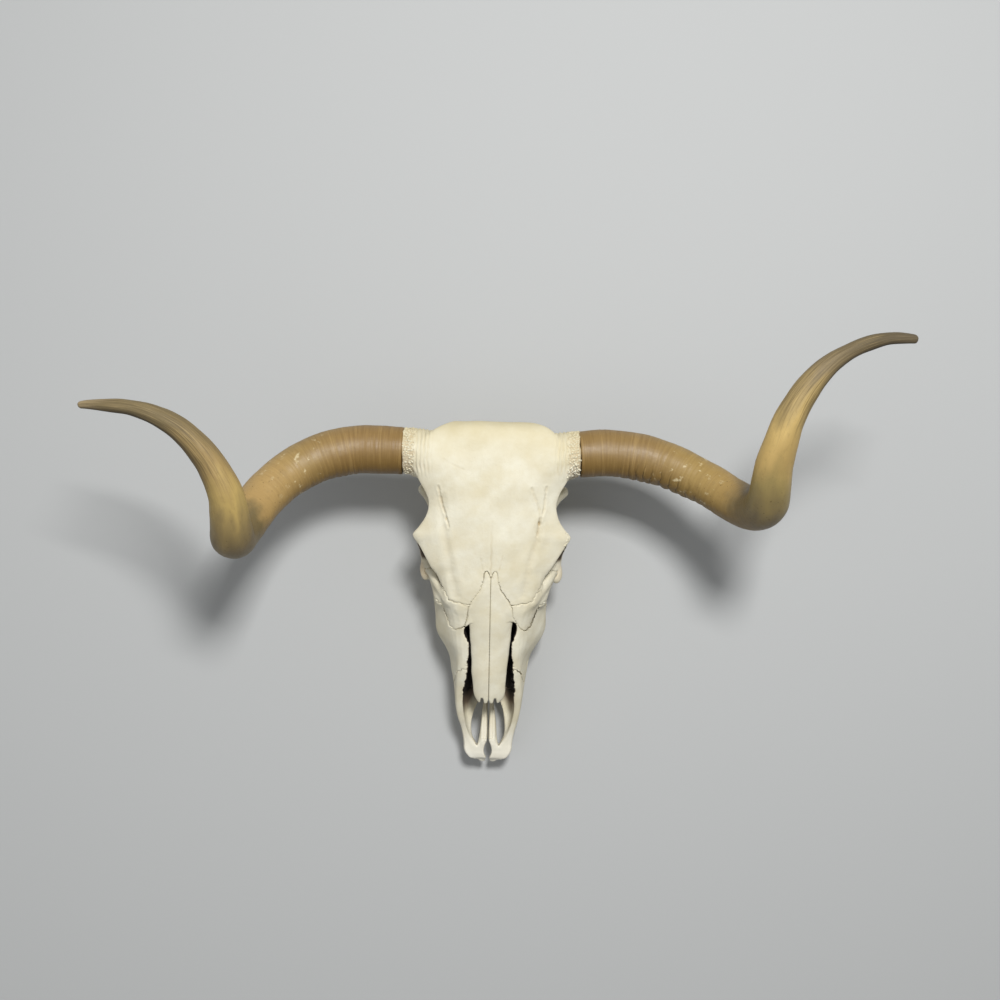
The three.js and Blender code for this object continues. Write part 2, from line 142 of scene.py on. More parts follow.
class Field:
    """Signed distances in millimetres on a grid, negative inside the bone."""

    def __init__(self, low, high, step=STEP):
        self.step = step
        self.axes = [np.arange(a, b + step, step, dtype=np.float32) for a, b in zip(low, high)]
        self.value = np.full([len(axis) for axis in self.axes], FAR, np.float32)

    def span(self, shape, margin):
        """The samples near a shape, and their x, y and z."""
        limits = zip(self.axes, shape.low, shape.high)
        spans = tuple(slice(*np.searchsorted(axis, (a - margin, b + margin))) for axis, a, b in limits)
        x, y, z = (axis[span] for axis, span in zip(self.axes, spans))
        return spans, x[:, None, None], y[None, :, None], z[None, None, :]

    def add(self, shape, blend=1.0):
        """Melts a shape into the bone."""
        spans, x, y, z = self.span(shape, blend + 4)
        self.value[spans] = smooth_min(self.value[spans], shape.distance(x, y, z), blend)

    def cut(self, shape, blend=1.0):
        """Carves a shape out of the bone."""
        spans, x, y, z = self.span(shape, blend + 4)
        self.value[spans] = smooth_max(self.value[spans], -shape.distance(x, y, z), blend)


print("samples in the half head:", Field(*HALF).value.size)

# %% [markdown]
# ## The forms a head is made of
#
# Four forms are enough. A **loft** carries a symmetric section along the head, for the jaws, the forehead
# and the hollow of the nose. A **tube** follows a bent line with a changing radius, for the cheek arch and
# the horn cores. A **slot** is sawn straight down along a line, for the openings in the palate. A **ball**
# is a stretched sphere, for the braincase, the knuckles of the neck joint and the eye sockets.

# %% Lofts, tubes, slots and balls
def through(stops, count, closed_start=False):
    """Points on a smooth curve through the stops, at even steps of its parameter."""
    stops = np.asarray(stops, float)
    before = stops[1] * [-1, 1] if closed_start else 2 * stops[0] - stops[1]
    after = stops[-2] * [-1, 1] if closed_start else 2 * stops[-1] - stops[-2]
    padded = np.vstack([before, stops, after])
    at = np.linspace(0, len(stops) - 1, count)
    i = np.minimum(at.astype(int), len(stops) - 2)
    t = (at - i)[:, None]
    p0, p1, p2, p3 = padded[i], padded[i + 1], padded[i + 2], padded[i + 3]
    bend = 2 * p0 - 5 * p1 + 4 * p2 - p3
    return 0.5 * (2 * p1 + (p2 - p0) * t + bend * t**2 + (3 * p1 - p0 - 3 * p2 + p3) * t**3)


def row_at(rows, y):
    """The sizes of a table of rows at any y, along a smooth curve through the rows."""
    rows = np.asarray(rows, float)
    slopes = np.gradient(rows[:, 1:], rows[:, 0], axis=0)
    i = int(np.clip(np.searchsorted(rows[:, 0], y) - 1, 0, len(rows) - 2))
    gap = rows[i + 1, 0] - rows[i, 0]
    t = np.clip((y - rows[i, 0]) / gap, 0, 1)
    a, b = rows[i, 1:], rows[i + 1, 1:]
    rise, fall = slopes[i] * gap, slopes[i + 1] * gap
    h = 3 * t**2 - 2 * t**3
    return a + (b - a) * h + rise * (t**3 - 2 * t**2 + t) + fall * (t**3 - t**2)


def loft(rows, outline, end_round=3.0, samples=25):
    """A form along y. Each row is [y, ...sizes], and outline(*sizes) is its half section from top to bottom."""
    first, last = rows[0][0], rows[-1][0]
    corners = np.array([p for row in rows for p in outline(*row[1:])])

    def distance(x, y, z):
        out = np.empty(np.broadcast_shapes(x.shape, y.shape, z.shape), np.float32)
        for j, here in enumerate(y.ravel()):
            line = through(outline(*row_at(rows, min(max(here, first), last))), samples, closed_start=True)
            (ax, az), (bx, bz) = line[:-1].T, line[1:].T
            across, up = bx - ax, bz - az
            from_x, from_z = x[:, 0, :, None] - ax, z[0, 0, :, None] - az
            along = np.clip((from_x * across + from_z * up) / (across**2 + up**2), 0, 1)
            away = np.sqrt(((from_x - along * across) ** 2 + (from_z - along * up) ** 2).min(-1))
            level = (az > z[0, 0, :, None]) != (bz > z[0, 0, :, None])
            crossed = level & (from_x < from_z * across / np.where(up == 0, 1e-9, up))
            inside = crossed.sum(-1) % 2 == 1
            beyond = max(first - here, here - last)
            out[:, j, :] = smooth_max(np.where(inside, -away, away), beyond, end_round)
        return out

    low = [0, first, corners[:, 1].min()]
    return Shape(low, [corners[:, 0].max(), last, corners[:, 1].max()], distance)


def tube(stops, flat=1.0, count=20):
    """A bar along a smooth line of [x, y, z, radius]. flat is its thickness in x against its height."""
    points = through(stops, count)
    reach = points[:, 3].max()

    def distance(x, y, z):
        best = None
        for a, b in zip(points[:-1], points[1:]):
            dx, dy, dz = b[:3] - a[:3]
            t = np.clip(((x - a[0]) * dx + (y - a[1]) * dy + (z - a[2]) * dz) / (dx**2 + dy**2 + dz**2), 0, 1)
            off_x, off_y, off_z = (x - a[0] - t * dx) / flat, y - a[1] - t * dy, z - a[2] - t * dz
            away = np.sqrt(off_x**2 + off_y**2 + off_z**2) - (a[3] + t * (b[3] - a[3]))
            best = away if best is None else np.minimum(best, away)
        return best

    return Shape(points[:, :3].min(0) - reach, points[:, :3].max(0) + reach, distance)


def slot(stops, low, high, count=24):
    """A slot straight down, along a smooth line of [x, y, half width], between two heights."""
    points = through(stops, count)
    reach = points[:, 2].max()

    def distance(x, y, z):
        best = None
        for a, b in zip(points[:-1], points[1:]):
            dx, dy = b[:2] - a[:2]
            t = np.clip(((x - a[0]) * dx + (y - a[1]) * dy) / (dx**2 + dy**2), 0, 1)
            away = np.hypot(x - a[0] - t * dx, y - a[1] - t * dy) - (a[2] + t * (b[2] - a[2]))
            best = away if best is None else np.minimum(best, away)
        return np.maximum(best, np.maximum(low - z, z - high))

    flat_low, flat_high = points[:, :2].min(0) - reach, points[:, :2].max(0) + reach
    return Shape([*flat_low, low], [*flat_high, high], distance)


def ball(centre, radii, turn=0.0):
    """An ellipsoid, turned about z by an angle in radians."""
    cosine, sine = math.cos(turn), math.sin(turn)
    reach = max(radii)

    def distance(x, y, z):
        dx, dy, dz = x - centre[0], y - centre[1], z - centre[2]
        u, v, w = (dx * cosine + dy * sine) / radii[0], (dy * cosine - dx * sine) / radii[1], dz / radii[2]
        size = np.sqrt(u**2 + v**2 + w**2)
        slope = np.sqrt((u / radii[0]) ** 2 + (v / radii[1]) ** 2 + (w / radii[2]) ** 2)
        away = size * (size - 1) / np.maximum(slope, 1e-6)
        return np.where(size < 1e-6, -min(radii), away)  # the slope says nothing at the very centre

    return Shape(np.subtract(centre, reach), np.add(centre, reach), distance)


trial_ball = ball([0, 0, 0], [10, 10, 10])
print("halfway down a ball of 10 mm:", round(float(trial_ball.distance(5.0, 0.0, 0.0)), 2), "mm")

# %% [markdown]
# ## Solid head first
#
# The tables below are the head's profile: each row says how wide and how high the bone is at one distance
# from the jaw's tip. The forehead is broadest over the eyes, pinches in before the horns and ends in the
# square crest of the poll. The cheek arch and the bar behind the eye are added after the hollows, so the
# hollows cannot thin them.

# %% The head's main forms
FACE = [  # y, then half width and height of the upper edge, of the cheek, and of the tooth line
    [0, 5, 35, 8, 30, 6, 27],
    [4, 9, 39, 13, 32, 10, 26.5],
    [7, 19, 44, 24.5, 35, 16, 26],
    [12, 23.5, 47, 31, 37.5, 21, 25.5],
    [20, 26.5, 49, 36, 39.5, 26, 25],
    [30, 28, 51, 37, 40, 28, 25],
    [48, 32.5, 57, 40, 43, 31, 25],
    [78, 40.5, 73, 46.5, 51, 35, 25],
    [108, 43, 89, 51.5, 57, 39, 24],
    [140, 41.5, 106, 55.5, 60, 46, 23],
    [168, 40, 117, 61.5, 62, 54, 23],
    [184, 41, 123, 70, 66, 60, 23],
    [200, 42, 128, 78.5, 70, 63, 24],
    [236, 48, 140, 83.5, 78, 65, 25],
    [268, 62, 147, 84, 89, 62, 28],
    [292, 64, 150, 76, 98, 58, 34],
    [306, 60, 146, 62, 104, 44, 46],
]
FOREHEAD = [  # y, then half width, and the heights of the middle, the edge and the underside
    [226, 38, 134, 128, 120],
    [240, 50, 143.5, 135, 116],
    [256, 59.5, 150, 134, 112],
    [280, 71, 157, 138, 112],
    [306, 88, 162, 145, 118],
    [338, 106, 169, 148, 126],
    [350, 112.5, 171, 149, 124],
    [361, 104, 173, 152, 118],
    [376, 95, 176, 156, 112],
    [398, 91.5, 179, 161, 106],
    [412, 96, 181, 165, 104],
    [428, 104, 183, 170, 104],
    [450, 106, 184, 175, 106],
    [472, 102, 184, 177, 110],
    [494, 90, 182, 173, 118],
    [508, 75, 175, 165, 128],
    [516, 60, 164, 157, 141],
]
NECK_SIDE = [  # y, then half widths and heights of the top, the widest point and the underside
    [408, 50, 150, 62, 100, 30, 60],
    [426, 70, 160, 96, 92, 40, 52],
    [446, 78, 168, 103, 93, 50, 50],
    [466, 80, 168, 98, 98, 52, 52],
    [480, 72, 162, 82, 108, 44, 62],
]
BASE = [  # y, then half width, top and underside
    [282, 24, 140, 54],
    [310, 24, 146, 56],
    [345, 26, 146, 58],
    [380, 26, 130, 56],
    [430, 27, 110, 52],
    [474, 30, 100, 54],
]
NASAL_ROOF = [  # y, then half width, height of the middle, and how far the sides drop
    [99, 14, 97, 5.5],
    [106, 19.5, 100, 6.5],
    [130, 23.5, 110, 8],
    [165, 25.5, 121.5, 8.5],
    [200, 28, 133, 8.5],
    [232, 30, 144, 7],
    [252, 29.5, 150, 5.5],
    [272, 26, 155.5, 4],
    [304, 14, 161, 2.5],
]
NASAL_THICKNESS = 4.5


# each half section runs from the middle of the top, round the side, to the middle of the underside
def face_outline(top_x, top_z, cheek_x, cheek_z, tooth_x, tooth_z):
    return [
        [0, top_z],
        [top_x, top_z - 2],
        [(top_x + cheek_x) / 2 + 3, (top_z + cheek_z) / 2 + 3],
        [cheek_x, cheek_z],
        [(cheek_x + tooth_x) / 2 + 4, (cheek_z + tooth_z) / 2 - 2],
        [tooth_x, tooth_z],
        [0, tooth_z + 4],
    ]


def forehead_outline(width, middle, edge, under):
    return [
        [0, middle],
        [width * 0.55, middle - 0.2 * (middle - edge)],
        [width - 3, edge + 3],
        [width, edge - 4],
        [width - 7, edge - 12],
        [width * 0.6, (edge + under) / 2 - 6],
        [0, under],
    ]


def neck_side_outline(top_x, top_z, wide_x, wide_z, low_x, low_z):
    middle = [[wide_x - 4, wide_z + 22], [wide_x, wide_z], [wide_x - 10, wide_z - 18]]
    return [[0, top_z], [top_x, top_z - 4], *middle, [low_x, low_z], [0, low_z]]


def base_outline(width, top, under):
    return [[0, top], [width, top - 10], [width, (top + under) / 2], [width * 0.7, under + 3], [0, under]]


def roof_outline(width, middle, drop):
    under = NASAL_THICKNESS
    upper = [[0, middle], [width * 0.6, middle - drop * 0.3], [width, middle - drop]]
    lower = [
        [width - 0.6, middle - drop - under],
        [width * 0.6, middle - drop * 0.4 - under],
        [0, middle - under],
    ]
    return [*upper, *lower]


HORN_Y, HORN_Z = 471, 150  # where the horn cores leave the head
NECK_END = {"left": 124, "right": 130}  # how far out each core shows before its sheath

head = Field(*HALF)
head.add(loft(FACE, face_outline, end_round=3))
head.add(loft(FOREHEAD, forehead_outline, end_round=8), blend=8)
head.add(loft(NECK_SIDE, neck_side_outline, end_round=10), blend=14)
head.add(loft(BASE, base_outline), blend=10)
BRAINCASE = ball([0, 398, 116], [62, 68, 50])
head.add(BRAINCASE, blend=12)
NECK = [
    [58, 460, 138, 38],
    [88, 464, 144, 37],
    [108, 469, 148.5, 34.2],
    [124, HORN_Y, HORN_Z, 33],
    [145, HORN_Y, HORN_Z, 33],
]
head.add(tube(NECK), blend=16)
LIGAMENT_KNOB = [[0, 504, 134, 9], [0, 492, 120, 6], [0, 484, 106, 4]]
head.add(tube(LIGAMENT_KNOB), blend=10)
NECK_MUSCLE_BED = ball([38, 491, 112], [22, 8, 18])
head.cut(NECK_MUSCLE_BED, blend=14)
print("solid head:", int((head.value < 0).sum()), "samples inside")

# %% [markdown]
# ## Then its hollows
#
# From above, dark slits run along both sides of the nasal bones, and the palate is open in long slots at
# the front. Behind the eyes the jaw muscles once filled a deep pit under the forehead's edge. Each is
# carved with its own roundness: sharp where thin bone breaks off, soft where the bone rolls in.

# %% Nose, eyes, temples and palate
NOSE = [  # y, then half width, floor and top of the hollow
    [38, 20, 43, 84],
    [46, 26.5, 40.5, 100],
    [73, 36, 38, 118],
    [98, 38.2, 36.5, 134],
    [130, 33.6, 36, 150],
    [155, 30.7, 36, 160],
    [178, 29, 36, 168],
    [194, 29.8, 36, 172],
    [202, 34.2, 36, 170],
    [212, 34.6, 37, 160],
    [220, 29, 38, 142],
    [240, 26, 39, 138],
    [262, 25, 40, 138],
    [292, 20, 42, 136],
]
HIND_NOSTRILS = [  # y, then half width, top and floor
    [284, 17, 62, 34],
    [306, 17, 76, 20],
    [334, 16, 70, 16],
    [354, 11, 56, 20],
]


def nose_outline(width, floor, top):
    return [[0, top], [width, top - 6], [width, (top + floor) / 2], [width * 0.9, floor + 5], [0, floor]]


def nostril_outline(width, top, floor):
    return [[0, top], [width, top - 10], [width, floor + 6], [0, floor]]


NOSE_HOLLOW = loft(NOSE, nose_outline, end_round=4)
head.cut(NOSE_HOLLOW, blend=2.5)
EYE_SOCKET = ball([90, 316, 117], [46, 31, 24], turn=-0.28)
head.cut(EYE_SOCKET, blend=4)
TEMPLE = [
    [86, 368, 122, 20],
    [84, 392, 116, 23],
    [90, 412, 116, 19],
    [100, 436, 112, 15],
    [114, 462, 104, 10],
]
head.cut(tube(TEMPLE), blend=9)
head.cut(loft(HIND_NOSTRILS, nostril_outline), blend=4)
SPINAL_OPENING = ball([0, 494, 84], [18, 36, 16])
head.cut(SPINAL_OPENING, blend=4)
CHEEK_NERVE = [[40, 178, 62, 3.5], [56, 158, 58, 4], [72, 136, 54, 5]]
head.cut(tube(CHEEK_NERVE), blend=3)
PALATE_SLOT = [  # x, y and half width
    [8.6, 112, 2.4],
    [12, 94, 4.6],
    [16, 78, 6.4],
    [18.2, 60, 7.3],
    [18.6, 44, 6.2],
    [17, 31, 2.2],
    [16.6, 28, 0.8],
]
SAWN = (-10, 70)  # mm, heights between which the palate's openings are sawn
BESIDE_RAIL = ball([20, 50, 59], [9.5, 24, 19], turn=-0.2)  # the hollow narrows forward beside each side rail
head.cut(BESIDE_RAIL, blend=4)
ROD = [[7, 116, 35, 4], [6.6, 90, 37, 4.4], [6.6, 60, 40.5, 4.8], [6.8, 44, 44, 4.8], [7.5, 30, 46.5, 4]]
head.add(tube(ROD, flat=0.95), blend=2)  # the thin rods along the middle of the palate
head.cut(slot(PALATE_SLOT, *SAWN), blend=1.4)
FRONT_NOTCH = [[0, -8, 4], [0, 1, 3.2], [0, 8, 1.8], [0, 14, 4.4], [0, 20, 6], [0, 27, 5], [0, 34, 2.4]]
FRONT_LIP = ball([9, 5.2, 31], [6.5, 5, 5])
head.add(FRONT_LIP, blend=2)
head.cut(slot(FRONT_NOTCH, *SAWN), blend=1.2)
MIDDLE_SLOT = [[0, 32, 2.4], [0, 42, 1.6], [0, 60, 1.7], [0, 90, 1.5], [0, 112, 0.8]]
head.cut(slot(MIDDLE_SLOT, *SAWN), blend=0.8)

BITTEN, BITE_SPACING = (112, 198), 4.6  # mm, from where to where along the jaw, and how far apart
chipped = np.random.default_rng(7)
BITES = []
for y in np.arange(*BITTEN, BITE_SPACING):  # the thin edges along the slits have broken away in little bites
    edge = float(row_at(NOSE, y)[0])
    reach = [chipped.uniform(1.3, 2.8), chipped.uniform(1.6, 2.8), 60]
    BITES.append(ball([edge - chipped.uniform(-0.9, 1.2), y + chipped.uniform(-1, 1), 112], reach))
    head.cut(BITES[-1], blend=0.5)
print("after the hollows:", int((head.value < 0).sum()), "samples inside")

# %% [markdown]
# ## The bars, knuckles and points
#
# What is left is slender: the ring round the eye, the cheek arch with the little knob of the jaw joint, the
# knuckles that the first neck bone rocked on, and the points beside them. The skull rests on those points
# and on its teeth, so both end at the floor.

# %% Add the slender bone
ARCH = [
    [72, 258, 111, 13.5],
    [78, 274, 104, 11.5],
    [88, 294, 96, 9.5],
    [92, 320, 88, 9],
    [92.5, 352, 84, 7.5],
    [89, 384, 85, 7],
    [95, 404, 87, 8],
    [106, 416, 89, 7.5],
]
EYE_POST = [[102, 348, 144, 9], [106, 341, 130, 6], [102, 328, 112, 6], [97.5, 312, 98, 8]]
CHEEK_KNOB = ball([95.8, 300, 94], [9.5, 19, 10], turn=0.1)
JUGULAR_POINT = [
    [66, 462, 74, 13],
    [63, 461, 50, 10.5],
    [58, 455, 26, 8],
    [53.5, 450, 2, 6.5],
    [53, 449.5, -8, 6.5],
]
EYE_RIM = [[60, 255, 130, 9], [71, 271, 124, 9.5], [82, 288, 114, 9.5], [91, 304, 102, 8.5]]
KNUCKLE_PARTS = [  # the knuckle of the neck joint, its climb beside the opening, and the bridge to its twin
    ball([24.5, 482, 62], [19, 22.5, 19], turn=-0.35),
    ball([31, 474, 80], [14, 21, 15], turn=-0.5),
    ball([12, 466, 54], [14, 20, 8], turn=-0.3),
]
JAW_SHELF = ball([82, 413, 84], [28, 10, 9], turn=0.15)  # the lower jaw hung from it
EAR_BUBBLE = ball([40, 424, 52], [12, 19, 17], turn=0.3)
HOOK = [[23.5, 286, 40, 3.5], [23.5, 306, 44, 3.2], [24, 330, 52, 3], [24, 352, 62, 4]]
NOSTRIL_PLATE_HEIGHTS = (48, 58, 68)  # three thin bars melt into the plate beside the hind nostrils
PALATE_RIDGE = [[0, 104, 33, 3], [0, 160, 38, 4.5], [0, 230, 44, 5], [0, 286, 58, 5]]

head.add(tube(EYE_RIM), blend=5)
head.add(tube(ARCH, flat=0.8, count=28), blend=7)
head.add(tube(EYE_POST, flat=0.8), blend=5)
head.add(CHEEK_KNOB, blend=3)
head.add(JAW_SHELF, blend=5)
head.add(tube(JUGULAR_POINT, flat=0.8), blend=9)
for part, blend in zip(KNUCKLE_PARTS, (7, 7, 6)):
    head.add(part, blend=blend)
head.add(EAR_BUBBLE, blend=5)
head.add(tube(HOOK), blend=4)
for height in NOSTRIL_PLATE_HEIGHTS:
    head.add(tube([[23.5, 290, height, 3], [23.5, 320, height + 4, 3], [24, 350, height + 6, 4]]), blend=6)
head.add(tube(PALATE_RIDGE, flat=0.5), blend=3)
head.add(loft(NASAL_ROOF, roof_outline, end_round=2), blend=0.8)

SNIPS = [(0, 2, 7), (9.6, 3, 11)]  # notches in the front edge of the nasal bones: x, half width and length
for snip_x, half_width, length in SNIPS:
    head.cut(ball([snip_x, 97, 96], [half_width, length, 18]), blend=0.8)
height = head.axes[2][None, None, :]
head.value = np.maximum(head.value, -height)  # nothing reaches below the floor
print("whole head:", int((head.value < 0).sum()), "samples inside")

# %% [markdown]
# ## From the field to a mesh
#
# Surface nets put one vertex in each grid cell that the surface passes through and join neighbours with
# quads. It is the simplest mesher that gives even quads on a rounded form. A few rounds of easing and
# snapping back to the surface then take the grid's steps out of it.

# %% Surface nets
def sampled(field, points):
    """The field's value between its samples, by weighing the eight nearest."""
    at = (points - [axis[0] for axis in field.axes]) / field.step
    at = np.clip(at, 0, np.array(field.value.shape) - 1.001)
    base = at.astype(int)
    part = at - base
    total = 0
    for corner in np.ndindex(2, 2, 2):
        weight = np.prod(np.where(corner, part, 1 - part), axis=1)
        total = total + weight * field.value[tuple((base + corner).T)]
    return total


def slope_of(field, points):
    """The direction in which the field grows, which is the surface's normal."""
    reach = np.eye(3) * field.step * 0.7
    slope = np.stack([sampled(field, points + way) - sampled(field, points - way) for way in reach], axis=1)
    return slope / np.maximum(np.linalg.norm(slope, axis=1, keepdims=True), 1e-9)


def surface_net(field, easing=3):
    """Vertices in millimetres, and quads, of the field's zero surface."""
    value = field.value
    inside = value < 0
    cells = [n - 1 for n in value.shape]
    corners = list(np.ndindex(2, 2, 2))
    views = [inside[i : i + cells[0], j : j + cells[1], k : k + cells[2]] for i, j, k in corners]
    filled = sum(view.astype(np.uint8) for view in views)
    active = (filled > 0) & (filled < 8)
    where = np.argwhere(active)
    number = np.full(active.shape, -1, np.int32)
    number[active] = np.arange(len(where))
    at_corner = {corner: value[tuple((where + corner).T)] for corner in corners}
    total, count = np.zeros((len(where), 3)), np.zeros(len(where))
    for corner in corners:
        for axis in range(3):
            if corner[axis]:
                continue
            other = tuple(c + (n == axis) for n, c in enumerate(corner))
            a, b = at_corner[corner], at_corner[other]
            crossed = (a < 0) != (b < 0)
            point = np.tile(np.array(corner, float), (len(where), 1))
            point[:, axis] += np.where(crossed, a / np.where(crossed, a - b, 1), 0)
            total += point * crossed[:, None]
            count += crossed
    points = (where + total / count[:, None]) * field.step + [axis[0] for axis in field.axes]

    quads = []
    for axis in range(3):
        u, v = (axis + 1) % 3, (axis + 2) % 3
        here, there = [slice(1, -1)] * 3, [slice(1, -1)] * 3
        here[axis], there[axis] = slice(0, -1), slice(1, None)
        leaving = inside[tuple(here)] & ~inside[tuple(there)]
        entering = ~inside[tuple(here)] & inside[tuple(there)]
        for crossing, order in ((leaving, 1), (entering, -1)):
            cell = np.argwhere(crossing)
            cell[:, [u, v]] += 1
            ring = []
            for step_u, step_v in ((-1, -1), (0, -1), (0, 0), (-1, 0))[::order]:
                neighbour = cell.copy()
                neighbour[:, u] += step_u
                neighbour[:, v] += step_v
                ring.append(number[tuple(neighbour.T)])
            quads.append(np.stack(ring, axis=1))
    quads = np.vstack(quads)

    a, b = quads.ravel(), np.roll(quads, -1, axis=1).ravel()
    for _ in range(easing):
        near = np.stack([np.bincount(a, points[b, n], len(points)) for n in range(3)], axis=1)
        near /= np.bincount(a, minlength=len(points))[:, None]
        points = points + 0.5 * (near - points)
        points = points - slope_of(field, points) * sampled(field, points)[:, None] * 0.9
    return points, quads


def largest_body(points, quads):
    """Drops the crumbs that a cut leaves behind."""
    label = np.arange(len(points))
    a, b = quads.ravel(), np.roll(quads, -1, axis=1).ravel()
    while True:
        low = np.minimum(label[a], label[b])
        new = label.copy()
        np.minimum.at(new, a, low)
        np.minimum.at(new, b, low)
        new = new[new]
        if np.array_equal(new, label):
            break
        label = new
    keep = label == np.bincount(label).argmax()
    renumber = np.cumsum(keep) - 1
    return points[keep], renumber[quads[keep[quads[:, 0]]]]


trial_field = Field([-12, -12, -12], [12, 12, 12])
trial_field.add(trial_ball)
trial_points, trial_quads = surface_net(trial_field)
trial_radii = np.linalg.norm(trial_points, axis=1)
print(f"the trial ball: {len(trial_quads)} quads, {trial_radii.min():.2f} to {trial_radii.max():.2f} mm out")

# %% [markdown]
# ## Parting the bones
#
# A suture is a wavy seam, and the bones on its two sides fit like a jigsaw. Each bone here is a region of
# the head, outlined from above or from the side, and its edge is shaken by two short waves so that the seam
# meanders. Bones that come later keep a fifth of a millimetre clear of those already taken.

# %% Regions
SUTURE = 0.2  # mm between two bones
TIP_GAP = 0.15  # mm that the midline is wider at the jaw's tip
SCARF, SCARF_DEPTH = 0.8, 5.0  # a bone's edge runs under its neighbour's by this much a mm, down to this depth
SHAKE_LONG, SHAKE_SHORT = 1.0, 0.6  # mm, the two waves in a seam

ROOF_REGION = [
    (-9, 80), (30, 80), (30.5, 130), (31.5, 190), (35, 204), (35.5, 215), (33, 226),
    (31.5, 239), (28, 251), (20.5, 262), (13, 273), (10, 285), (7.5, 297), (4, 295), (2, 287), (-9, 284),
]
TEAR_REGION = [
    (28, 217), (36, 218), (54, 213), (65, 235), (74, 251), (88, 258), (112, 261), (114, 290),
    (92, 299), (82, 294), (62, 257), (46, 251), (28, 245),
]
CHEEK_REGION = [
    (247, 86), (262, 62), (300, 48), (340, 60), (374, 66), (374, 104), (362, 118),
    (336, 118), (310, 120), (290, 121), (263, 122), (256, 106),
]
TIP_REGION = [(-20, -10), (112, -10), (112, 46), (122, 66), (150, 108), (166, 126), (166, 190), (-20, 190)]
JAW_REGION = [
    (111, -10), (305, -10), (303, 30), (298, 50), (278, 64), (264, 82), (266, 106), (265, 120),
    (248, 127), (240, 190), (160, 190), (148, 108), (120, 66), (111, 46),
]


def flat_distance(outline, a, b):
    """Signed distance in a plane to a smooth closed line through the outline, shaken into a seam."""
    long_wave = SHAKE_LONG * np.sin(a * 0.53 + b * 0.31) * np.sin(b * 0.47 - a * 0.21)
    short_wave = SHAKE_SHORT * np.sin(a * 1.5) * np.sin(b * 1.4)
    shake = long_wave + short_wave
    a, b = a + shake, b - shake
    line = through([*outline, outline[0]], 5 * len(outline) + 1)
    nearest, inside = None, False
    for (pa, pb), (qa, qb) in zip(line[:-1], line[1:]):
        da, db = qa - pa, qb - pb
        t = np.clip(((a - pa) * da + (b - pb) * db) / (da**2 + db**2), 0, 1)
        away = (a - pa - t * da) ** 2 + (b - pb - t * db) ** 2
        nearest = away if nearest is None else np.minimum(nearest, away)
        if db:
            inside = inside ^ (((pb > b) != (qb > b)) & (a < pa + (b - pb) * da / db))
    return np.where(inside, -1, 1) * np.sqrt(nearest)


SLIT_END = 203  # from here back the nasal bones touch their neighbours
UNDER_ROOF, BESIDE_ROOF = 2.5, 0.9  # mm, how far their region reaches past them


def roof_region(x, y, z):
    """The nasal bones: what lies within their outline from above and no lower than their underside."""
    rows = np.array([row_at(NASAL_ROOF, value) for value in y.ravel()])
    under = (rows[:, 1] - rows[:, 2] - NASAL_THICKNESS - UNDER_ROOF).reshape(y.shape)
    free_edge = np.where(y < SLIT_END, x - rows[:, 0].reshape(y.shape) - BESIDE_ROOF, -FAR)
    return np.maximum(np.maximum(flat_distance(ROOF_REGION, x, y), under - z), free_edge)


REGIONS = {  # in the order in which the bones are taken
    "nasal": roof_region,
    "lacrimal": lambda x, y, z: np.maximum(flat_distance(TEAR_REGION, x, y), 92 + 0.14 * (y - 215) - z),
    "zygomatic": lambda x, y, z: np.maximum(flat_distance(CHEEK_REGION, y, z), 50 - x),
    "premaxilla": lambda x, y, z: flat_distance(TIP_REGION, y, z),
    "maxilla": lambda x, y, z: flat_distance(JAW_REGION, y, z),
}

x_all, y_all, z_all = head.axes[0][:, None, None], head.axes[1][None, :, None], head.axes[2][None, None, :]
scarf = SCARF * np.maximum(head.value, -SCARF_DEPTH)
rest = head.value.copy()
bone_fields = {}
for bone, region in REGIONS.items():
    inside_region = region(x_all, y_all, z_all) + scarf
    field = Field(*HALF)
    middle_gap = SUTURE / 2 + TIP_GAP * np.clip((150 - y_all) / 45, 0, 1)
    field.value = np.maximum(np.maximum(rest, inside_region), middle_gap - x_all).astype(np.float32)
    bone_fields[bone] = field
    rest = np.maximum(rest, SUTURE - inside_region).astype(np.float32)
    print(f"{bone}: {int((field.value < 0).sum())} samples")

# %% The cranium is the rest, on both sides, cut square where the sheaths begin
FOREHEAD_REGION = [
    (200, 118), (232, 116), (262, 110), (300, 112), (345, 118), (400, 112), (430, 104), (470, 102),
    (498, 116), (540, 120), (540, 220), (200, 220),
]
ARCHED = 14  # mm that the seam under the poll rises from the temples to the middle

cranium_field = Field(*WHOLE)
cranium_field.axes[0] = np.concatenate([-head.axes[0][:0:-1], head.axes[0]])
cranium_field.value = np.concatenate([rest[:0:-1], rest])
across = cranium_field.axes[0][:, None, None]
cranium_field.value = np.maximum(cranium_field.value, across - NECK_END["left"])
cranium_field.value = np.maximum(cranium_field.value, -across - NECK_END["right"]).astype(np.float32)
arch = ARCHED * (across / 90) ** 2 * np.clip((y_all - 440) / 30, 0, 1)
in_forehead = flat_distance(FOREHEAD_REGION, y_all, z_all) - arch - 1.5 * np.sin(across * 0.21)
braincase_field = Field(*WHOLE)
braincase_field.axes = cranium_field.axes
braincase_field.value = np.maximum(cranium_field.value, SUTURE - in_forehead).astype(np.float32)
cranium_field.value = np.maximum(cranium_field.value, in_forehead).astype(np.float32)
for name, field in {"forehead": cranium_field, "braincase": braincase_field}.items():
    print(f"{name}: {int((field.value < 0).sum())} samples")
